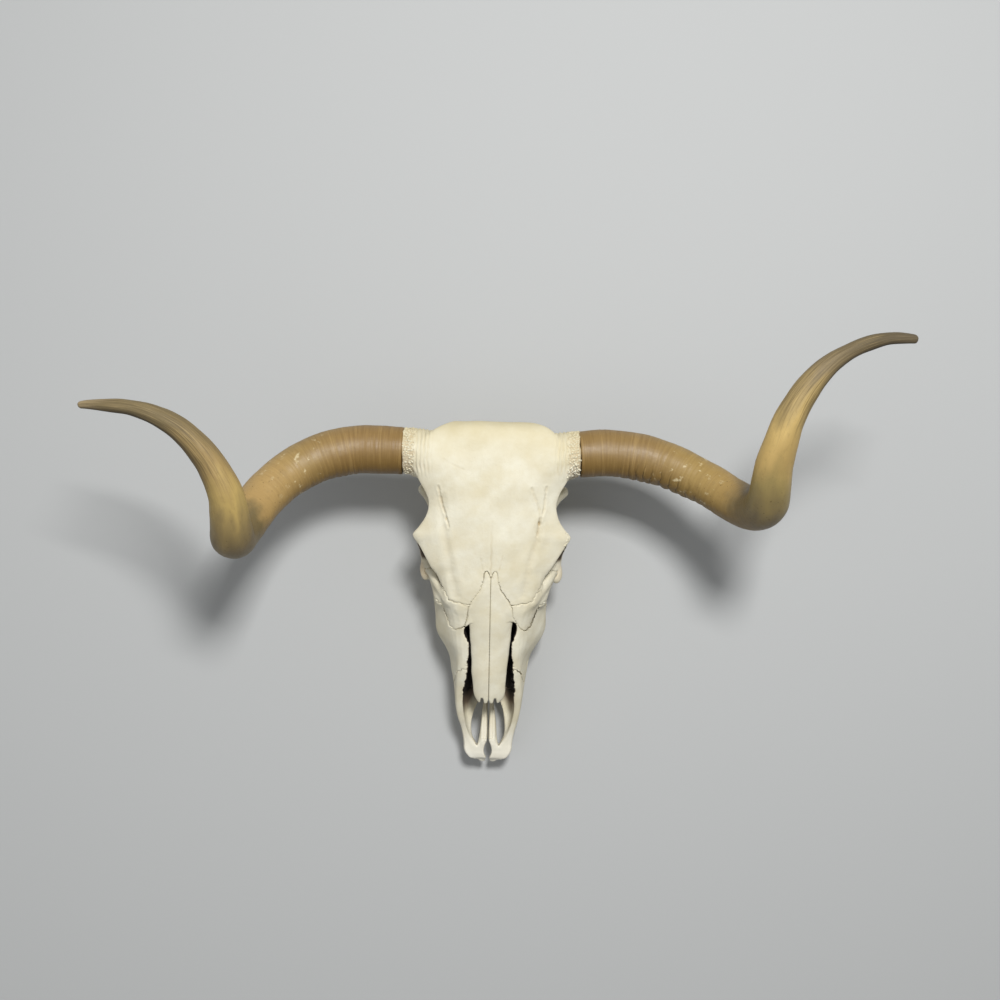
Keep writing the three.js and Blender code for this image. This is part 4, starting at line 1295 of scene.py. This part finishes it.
def horn_tree():
    """Wraps a straight rod along a path, lays relief on it and closes both of its ends."""
    tree = bpy.data.node_groups.new("growing_horn", "GeometryNodeTree")
    node = partial(add_node, tree)
    socket = tree.interface.new_socket
    socket("Path", in_out="INPUT", socket_type="NodeSocketGeometry")
    for name, value in HORN_SIZES["right"].items():
        socket(name, in_out="INPUT", socket_type="NodeSocketFloat").default_value = value
    socket("Finish", in_out="INPUT", socket_type="NodeSocketMaterial")
    socket("Horn", in_out="OUTPUT", socket_type="NodeSocketGeometry")
    given = node("NodeGroupInput").outputs

    # the path as a smooth curve, and its length in mm
    line = node("GeometryNodeMeshToCurve", {0: given["Path"]})
    smooth = node("GeometryNodeCurveSplineType", {0: line}, spline_type="CATMULL_ROM")
    path = node("GeometryNodeSetSplineResolution", {0: smooth, "Resolution": 24})
    metres = node("GeometryNodeCurveLength", {0: path})
    length = node(MATH, {0: metres, 1: 1 / MM}, operation="MULTIPLY")

    # the straight rod: columns round it, rows along it, the first rows for the flat seat
    sizes = {"Size X": 1.0, "Size Y": 1.0, "Vertices X": HORN_COLUMNS + 1, "Vertices Y": HORN_ROWS}
    grid = node("GeometryNodeMeshGrid", sizes)
    spot = node("ShaderNodeSeparateXYZ", {0: node("GeometryNodeInputPosition")}).outputs
    turn = node(MATH, {0: spot["X"], 1: math.tau}, operation="MULTIPLY")
    row = node(MATH, {0: spot["Y"], 1: 0.5}, operation="ADD")
    along = node(RANGE, {0: row, 1: SEAT_ROWS, 2: 1.0})
    seat = node(RANGE, {0: row, 1: 0.0, 2: SEAT_ROWS})
    far = node(MATH, {0: along, 1: length}, operation="MULTIPLY")
    cosine = node(MATH, {0: turn}, operation="COSINE")
    sine = node(MATH, {0: turn}, operation="SINE")
    rod_x = node(MATH, {0: cosine, 1: ROD_RADIUS}, operation="MULTIPLY")
    rod_y = node(MATH, {0: sine, 1: ROD_RADIUS}, operation="MULTIPLY")
    straight = node(AXES, {0: rod_x, 1: rod_y, 2: far})
    shift = node(AXES, {0: given["Seed"], 1: given["Seed"], 2: given["Seed"]})
    own = node(VECTOR, {0: straight, 1: shift}, operation="ADD")

    # where the path is at each row, and the way out from it at each column
    girth = node("GeometryNodeInputNamedAttribute", {"Name": "girth"}, data_type="FLOAT")
    reading = {"mode": "FACTOR", "data_type": "FLOAT", "use_all_curves": True}
    sampled_at = {"Curves": path, "Value": girth, "Factor": along}
    here = node("GeometryNodeSampleCurve", sampled_at, **reading).outputs
    side = node(VECTOR, {0: here["Tangent"], 1: here["Normal"]}, operation="CROSS_PRODUCT")
    ahead = node(VECTOR, {0: here["Normal"], "Scale": cosine}, operation="SCALE")
    aside = node(VECTOR, {0: side, "Scale": sine}, operation="SCALE")
    outward = node(VECTOR, {0: ahead, 1: aside}, operation="ADD")
    radius = node(MATH, {0: here["Value"], 1: 1 / MM}, operation="MULTIPLY")

    # growth rings, strongest near the base
    ring_count = node(MATH, {0: 1.0, 1: given["Ring Spacing"]}, operation="DIVIDE")
    ring_scale = node(AXES, {0: 0.018, 1: 0.018, 2: ring_count})
    ring_place = node(VECTOR, {0: own, 1: ring_scale}, operation="MULTIPLY")
    ring_noise = node(NOISE, {"Vector": ring_place, "Scale": 1.0, "Detail": 3.0})
    ring_fade = node(RANGE, {0: along, 1: 0.12, 2: 0.62, 3: 2.0, 4: 0.32})
    rings = node(MATH, {0: ring_noise, 1: 0.5}, operation="SUBTRACT")
    rings = node(MATH, {0: rings, 1: given["Ring Height"]}, operation="MULTIPLY")
    rings = node(MATH, {0: rings, 1: ring_fade}, operation="MULTIPLY")

    # folds on the side that the horn bends towards, with sharp creases between them
    fold_place = node(VECTOR, {0: own, 1: (0.03, 0.03, 0.02)}, operation="MULTIPLY")
    wander = node(NOISE, {"Vector": fold_place, "Scale": 1.0, "Detail": 2.0})
    wander = node(MATH, {0: wander, 1: 7.0}, operation="MULTIPLY")
    fold_turn = node(MATH, {0: far, 1: math.pi}, operation="MULTIPLY")
    fold_turn = node(MATH, {0: fold_turn, 1: given["Fold Spacing"]}, operation="DIVIDE")
    fold_turn = node(MATH, {0: fold_turn, 1: wander}, operation="ADD")
    fold = node(MATH, {0: fold_turn}, operation="SINE")
    fold = node(MATH, {0: fold}, operation="ABSOLUTE")
    fold = node(MATH, {0: fold, 1: 0.6}, operation="POWER")
    fold = node(MATH, {0: fold, 1: 0.5}, operation="SUBTRACT")
    front = node(VECTOR, {0: outward, 1: (0, -1, 0)}, operation="DOT_PRODUCT").outputs["Value"]
    facing = node(RANGE, {0: front, 1: 0.0, 2: 0.8})
    starting = node(RANGE, {0: along, 1: 0.06, 2: 0.13})
    ending = node(RANGE, {0: along, 1: 0.22, 2: 0.36, 3: 1.0, 4: 0.0})
    window = node(MATH, {0: starting, 1: ending}, operation="MULTIPLY")
    window = node(MATH, {0: window, 1: facing}, operation="MULTIPLY")
    folds = node(MATH, {0: fold, 1: window}, operation="MULTIPLY")
    folds = node(MATH, {0: folds, 1: given["Fold Height"]}, operation="MULTIPLY")

    # fibres along the horn, and a slow unevenness
    fibre_place = node(VECTOR, {0: own, 1: (0.28, 0.28, 0.012)}, operation="MULTIPLY")
    fibre_noise = node(NOISE, {"Vector": fibre_place, "Scale": 1.0, "Detail": 3.0})
    fibre_height = node(RANGE, {0: along, 1: 0.56, 2: 0.8, 3: 0.1, 4: 0.8})
    fibres = node(MATH, {0: fibre_noise, 1: 0.5}, operation="SUBTRACT")
    fibres = node(MATH, {0: fibres, 1: fibre_height}, operation="MULTIPLY")
    slow_place = node(VECTOR, {0: own, 1: (0.02, 0.02, 0.022)}, operation="MULTIPLY")
    slow_noise = node(NOISE, {"Vector": slow_place, "Scale": 1.0, "Detail": 1.0})
    slow = node(MATH, {0: slow_noise, 1: 0.5}, operation="SUBTRACT")
    slow = node(MATH, {0: slow, 1: UNEVEN}, operation="MULTIPLY")

    # the girth with all of these, the blunt tip and the rim
    rim = node(RANGE, {0: far, 1: 0.0, 2: 4.0, 3: -0.6, 4: 0.0})
    full = radius
    for relief in (rings, folds, fibres, slow, rim):
        full = node(MATH, {0: full, 1: relief}, operation="ADD")
    from_tip = node(MATH, {0: length, 1: far}, operation="SUBTRACT")
    left_over = node(RANGE, {0: from_tip, 1: 0.0, 2: TIP_LENGTH, 3: 1.0, 4: 0.0})
    squared = node(MATH, {0: left_over, 1: left_over}, operation="MULTIPLY")
    tip = node(MATH, {0: 1.0, 1: squared}, operation="SUBTRACT")
    tip = node(MATH, {0: tip}, operation="SQRT")
    for share in (tip, seat, MM):
        full = node(MATH, {0: full, 1: share}, operation="MULTIPLY")

    # the rim is frayed along the path, then every point takes its place
    fray_place = node(VECTOR, {0: own, 1: (0.2, 0.2, 0.0)}, operation="MULTIPLY")
    fray_noise = node(NOISE, {"Vector": fray_place, "Scale": 1.0, "Detail": 3.0})
    fray_length = node(RANGE, {0: far, 1: 0.0, 2: 7.0, 3: 0.9 * MM, 4: 0.0})
    fray = node(MATH, {0: fray_noise, 1: fray_length}, operation="MULTIPLY")
    frayed = node(VECTOR, {0: here["Tangent"], "Scale": fray}, operation="SCALE")
    reach = node(VECTOR, {0: outward, "Scale": full}, operation="SCALE")
    wrapped = node(VECTOR, {0: here["Position"], 1: frayed}, operation="ADD")
    wrapped = node(VECTOR, {0: wrapped, 1: reach}, operation="ADD")

    # what the finish reads, among it the front side and the folds for painted shade, then the closed mesh
    marks = {"straight": straight, "along": along, "fold": folds, "front": front}
    for name, value in marks.items():
        kind = "FLOAT_VECTOR" if name == "straight" else "FLOAT"
        stored = {"Geometry": grid, "Name": name, "Value": value}
        grid = node("GeometryNodeStoreNamedAttribute", stored, data_type=kind, domain="POINT")
    placed = node("GeometryNodeSetPosition", {"Geometry": grid, "Position": wrapped})
    closed = node("GeometryNodeMergeByDistance", {"Geometry": placed, "Distance": 0.02 * MM})
    shaded = node("GeometryNodeSetShadeSmooth", {"Geometry": closed, "Shade Smooth": True})
    real = node("GeometryNodeRealizeInstances", {"Geometry": shaded})
    done = node("GeometryNodeSetMaterial", {"Geometry": real, "Material": given["Finish"]})
    node("NodeGroupOutput", {0: done})
    return tree


# %% [markdown]
# ## The finish of horn
#
# ** Horn keratin**, scraped, boiled and waxed: satin, slightly see-through at its surface, brown at the base
# where the sheath is thick and young, honey-coloured where it was rubbed, olive at the bend, and grey-brown
# at the old tip. Its fibres run along the horn and its growth rings across, so the pattern is drawn on the
# straight rod. The side that faces forward and the creases between the folds are darkened as painted shade.

# %% Horn keratin
HORN_COLOURS = {  # how far along the horn each colour lies
    "right": [
        (0.0, "#84683a"), (0.1, "#8a6e41"), (0.22, "#9a804e"), (0.33, "#ac8e59"), (0.4, "#a98b56"),
        (0.46, "#6f603d"), (0.53, "#746341"), (0.58, "#8d794c"), (0.63, "#b3995b"), (0.68, "#9a8150"),
        (0.8, "#746545"), (0.93, "#7b6c4c"), (1.0, "#a08d6b"),
    ],
    "left": [
        (0.0, "#84693b"), (0.12, "#896f43"), (0.26, "#997f49"), (0.36, "#987d49"), (0.45, "#706143"),
        (0.54, "#95824f"), (0.62, "#bc9e60"), (0.68, "#c3a667"), (0.72, "#a18a58"), (0.78, "#7b6b4c"),
        (0.9, "#584d37"), (1.0, "#5e5340"),
    ],
}
HORN_MARKS = ["along", "fold", "front"]
HORN_PATTERNS = {  # how each is squeezed, in 1/mm round and along the horn, its detail and its roughness
    "clouds": ((0.03, 0.03, 0.012), 4.0, 0.55),
    "rings": ((0.016, 0.016, 0.42), 4.0, 0.7),  # bands about 2.4 mm wide
    "fibres": ((0.5, 0.5, 0.02), 4.0, 0.6),  # streaks about 2 mm wide and 50 mm long
    "scuffs": ((0.1, 0.1, 0.07), 4.0, 0.6),
    "grime": ((0.12, 0.12, 0.12), 6.0, 0.7),
    "pits": ((0.3, 0.3, 0.3), 1.0, 0.5),
    "grain": ((0.6, 0.6, 0.05), 5.0, 0.7),
}
HORN_LAYERS = [  # pattern, start, full, how much, (rises from, to, falls from, to) along the horn, colour
    # painted shade: a darker brown on the side that faces forward, near the base
    ("front", 0.0, 0.85, 0.7, (-1.0, 0.0, 0.38, 0.5), "#644805"),
    ("rings", 0.5, 0.66, 0.38, (-1.0, 0.0, 0.05, 0.55), "#6a4f26"),
    ("rings", 0.46, 0.3, 0.3, (-1.0, 0.0, 0.05, 0.55), "#c3a468"),
    ("fibres", 0.5, 0.66, 0.8, (0.62, 0.72, 0.97, 1.1), "#504226"),
    ("fibres", 0.44, 0.3, 0.5, (0.6, 0.72, 0.97, 1.1), "#b8a06e"),
    ("scuffs", 0.61, 0.7, 0.6, (0.14, 0.2, 0.3, 0.36), "#e0d2aa"),
    # painted shade along the forward-facing edge of the outer half
    ("front", 0.3, 0.95, 0.8, (0.56, 0.66, 0.95, 1.05), "#3b2f18"),
    # painted shade in the creases between the folds
    ("fold", -0.15, -0.7, 0.8, (-1.0, 0.0, 0.5, 0.6), "#4c3717"),
    ("grime", 0.55, 0.75, 0.3, (-1.0, 0.0, 1.1, 1.2), "#6f5a33"),
    ("pits", 0.7, 0.76, 0.8, (0.26, 0.32, 0.5, 0.6), "#4f3a18"),
]


def horn_material(side):
    """One side's colours along the horn, with patterns drawn on the straight rod, and painted shade."""
    material = bpy.data.materials.new(f"waxed_horn_keratin_{side}")
    material.use_nodes = True
    tree = material.node_tree
    node = partial(add_node, tree)
    shader = tree.nodes["Principled BSDF"]
    straight = node(MARK, attribute_name="straight").outputs["Vector"]
    of = {name: node(MARK, attribute_name=name).outputs["Fac"] for name in HORN_MARKS}
    for name, (squeeze, detail, roughness) in HORN_PATTERNS.items():
        squeezed = node(VECTOR, {0: straight, 1: squeeze}, operation="MULTIPLY")
        settings = {"Vector": squeezed, "Scale": 1.0, "Detail": detail, "Roughness": roughness}
        of[name] = node(NOISE, settings)

    # the colour along the horn, its borders shifted to and fro by slow clouds
    drift = node(RANGE, {0: of["clouds"], 1: 0.25, 2: 0.75, 3: -0.05, 4: 0.05})
    drift = node(MATH, {0: of["along"], 1: drift}, operation="ADD")
    colour = node("ShaderNodeValToRGB", {"Fac": drift})
    stops = colour.color_ramp.elements
    while len(stops) < len(HORN_COLOURS[side]):
        stops.new(0.5)
    for stop, (place, hex_colour) in zip(stops, HORN_COLOURS[side]):
        stop.position, stop.color = place, linear(hex_colour)

    for name, start, full, most, (rise, top, fall, end), hex_colour in HORN_LAYERS:
        amount = node(RANGE, {0: of[name], 1: start, 2: full, 3: 0.0, 4: most})
        rising = node(RANGE, {0: of["along"], 1: rise, 2: top})
        falling = node(RANGE, {0: of["along"], 1: fall, 2: end, 3: 1.0, 4: 0.0})
        amount = node(MATH, {0: amount, 1: rising}, operation="MULTIPLY")
        amount = node(MATH, {0: amount, 1: falling}, operation="MULTIPLY")
        colour = node(MIX, {0: amount, 6: colour, 7: linear(hex_colour)}, data_type="RGBA")

    height = node(MATH, {0: of["rings"], 1: of["grain"]}, operation="ADD")
    bump = node("ShaderNodeBump", {"Strength": 0.4, "Distance": 0.6 * MM, "Height": height})
    polish = node(RANGE, {0: of["grime"], 1: 0.3, 2: 0.7, 3: 0.4, 4: 0.54})
    worn = node(RANGE, {0: of["along"], 1: 0.56, 2: 0.76, 3: 0.0, 4: 0.22})
    gloss = node(MATH, {0: polish, 1: worn}, operation="ADD")
    tree.links.new(colour.outputs[2], shader.inputs["Base Color"])
    tree.links.new(gloss.outputs[0], shader.inputs["Roughness"])
    tree.links.new(bump.outputs["Normal"], shader.inputs["Normal"])
    shader.inputs["IOR"].default_value = 1.54
    shader.inputs["Specular IOR Level"].default_value = 0.4
    return material


# %% Grow both horns
def volume_of(mesh):
    """The volume inside a closed mesh in cubic metres, negative if it is inside out."""
    mesh.calc_loop_triangles()
    at = np.empty(len(mesh.vertices) * 3)
    mesh.vertices.foreach_get("co", at)
    corners = np.empty(len(mesh.loop_triangles) * 3, int)
    mesh.loop_triangles.foreach_get("vertices", corners)
    a, b, c = at.reshape(-1, 3)[corners.reshape(-1, 3)].transpose(1, 0, 2)
    return float(np.einsum("ij,ij->i", a, np.cross(b, c)).sum() / 6)


HORN_TREE = horn_tree()
for side, sign in SIDES.items():
    stops = np.array(HORN_PATHS[side], float)
    path_mesh = bpy.data.meshes.new(f"horn_path_{side}")
    links = [(i, i + 1) for i in range(len(stops) - 1)]
    path_mesh.from_pydata(to_frame(stops[:, :3] * [sign, 1, 1]), links, [])
    girths = (stops[:, 3] * MM).astype(np.float32)
    path_mesh.attributes.new("girth", "FLOAT", "POINT").data.foreach_set("value", girths)
    horn = bpy.data.objects.new(f"horn_sheath_{side}", path_mesh)
    bpy.context.scene.collection.objects.link(horn)
    horn_mesh = outcome_of(horn, HORN_TREE, {**HORN_SIZES[side], "Finish": horn_material(side)})
    if volume_of(horn_mesh) < 0:
        horn_mesh.flip_normals()
    horn.data = horn_mesh
    bpy.data.meshes.remove(path_mesh)
    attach(horn, BODY)
    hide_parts(f"horn_{side}")
    litres = volume_of(horn_mesh) * 1000
    print(f"{horn.name}: {len(horn_mesh.polygons)} faces, {litres:.2f} litres")

# %% [markdown]
# ## The floor, the light and the camera
#
# The camera looks straight down from two metres above the floor, a little off the middle of the forehead
# and turned by about a degree, with a lens that takes in 41 degrees. The key light stands high behind the
# poll, so each form throws a short shadow forward, and it is small enough to keep the slits and the sockets
# dark. A broad, weak light from the front and a pale room lift the shadows a little. The floor is painted
# matt, so that it shows the shadows and mirrors nothing.

# %% Camera
CAMERA_HEIGHT = 2.09
CAMERA_X, CAMERA_Y = 10.9, 402.7  # mm on the skull's axes
CAMERA_TURN = math.radians(1.204)
FOCAL_PIXELS, IMAGE_PIXELS, SENSOR = 1338, 1000, 36

camera_data = bpy.data.cameras.new("camera")
camera_data.sensor_width = SENSOR
camera_data.lens = FOCAL_PIXELS / IMAGE_PIXELS * SENSOR
camera = bpy.data.objects.new("camera", camera_data)
bpy.context.scene.collection.objects.link(camera)
camera.location = (*to_frame([CAMERA_X, CAMERA_Y, 0])[:2], CAMERA_HEIGHT)
camera.rotation_euler = (0, 0, CAMERA_TURN)
bpy.context.scene.camera = camera
print("lens:", round(camera_data.lens, 2), "mm")

# %% Floor
floor_mesh = bpy.data.meshes.new("floor")
HALF_FLOOR = 6.0
corners = [(HALF_FLOOR * x, HALF_FLOOR * y, 0) for x, y in ((-1, -1), (1, -1), (1, 1), (-1, 1))]
floor_mesh.from_pydata(corners, [], [(0, 1, 2, 3)])
floor_material = bpy.data.materials.new("pale_floor_paint")
floor_material.use_nodes = True
floor_material.node_tree.nodes["Principled BSDF"].inputs["Base Color"].default_value = linear("#b4b5b4")
floor_material.node_tree.nodes["Principled BSDF"].inputs["Roughness"].default_value = 0.9
floor_mesh.materials.append(floor_material)
floor = bpy.data.objects.new("floor", floor_mesh)
bpy.context.scene.collection.objects.link(floor)
print("floor:", 2 * HALF_FLOOR, "m square")

# %% Light
def area_light(name, place, aim, size, power):
    """A square lamp at a place, turned towards its aim."""
    light = bpy.data.lights.new(name, "AREA")
    light.size, light.energy = size, power
    lamp = bpy.data.objects.new(name, light)
    bpy.context.scene.collection.objects.link(lamp)
    lamp.location = place
    way = np.subtract(aim, place)
    flat = math.hypot(way[0], way[1])
    lamp.rotation_euler = (math.atan2(flat, -way[2]), 0, math.atan2(-way[0], way[1]))
    return lamp


LIGHTS = [  # name, place and aim in metres, size in metres and power in watts
    ("key_light", (0.45, 1.25, 2.9), (0, 0.1, 0.1), 0.6, 93),
    ("fill_light", (-1.6, -0.6, 2.4), (0, 0, 0.1), 2.4, 10),
]
for settings in LIGHTS:
    lamp = area_light(*settings)
    print(lamp.name, "at", [round(value, 2) for value in lamp.location])
world = bpy.data.worlds.new("soft_room")
bpy.context.scene.world = world
world.use_nodes = True
world.node_tree.nodes["Background"].inputs["Color"].default_value = linear("#f2f5f8")
world.node_tree.nodes["Background"].inputs["Strength"].default_value = 0.3
bpy.context.scene.view_settings.view_transform = "Standard"
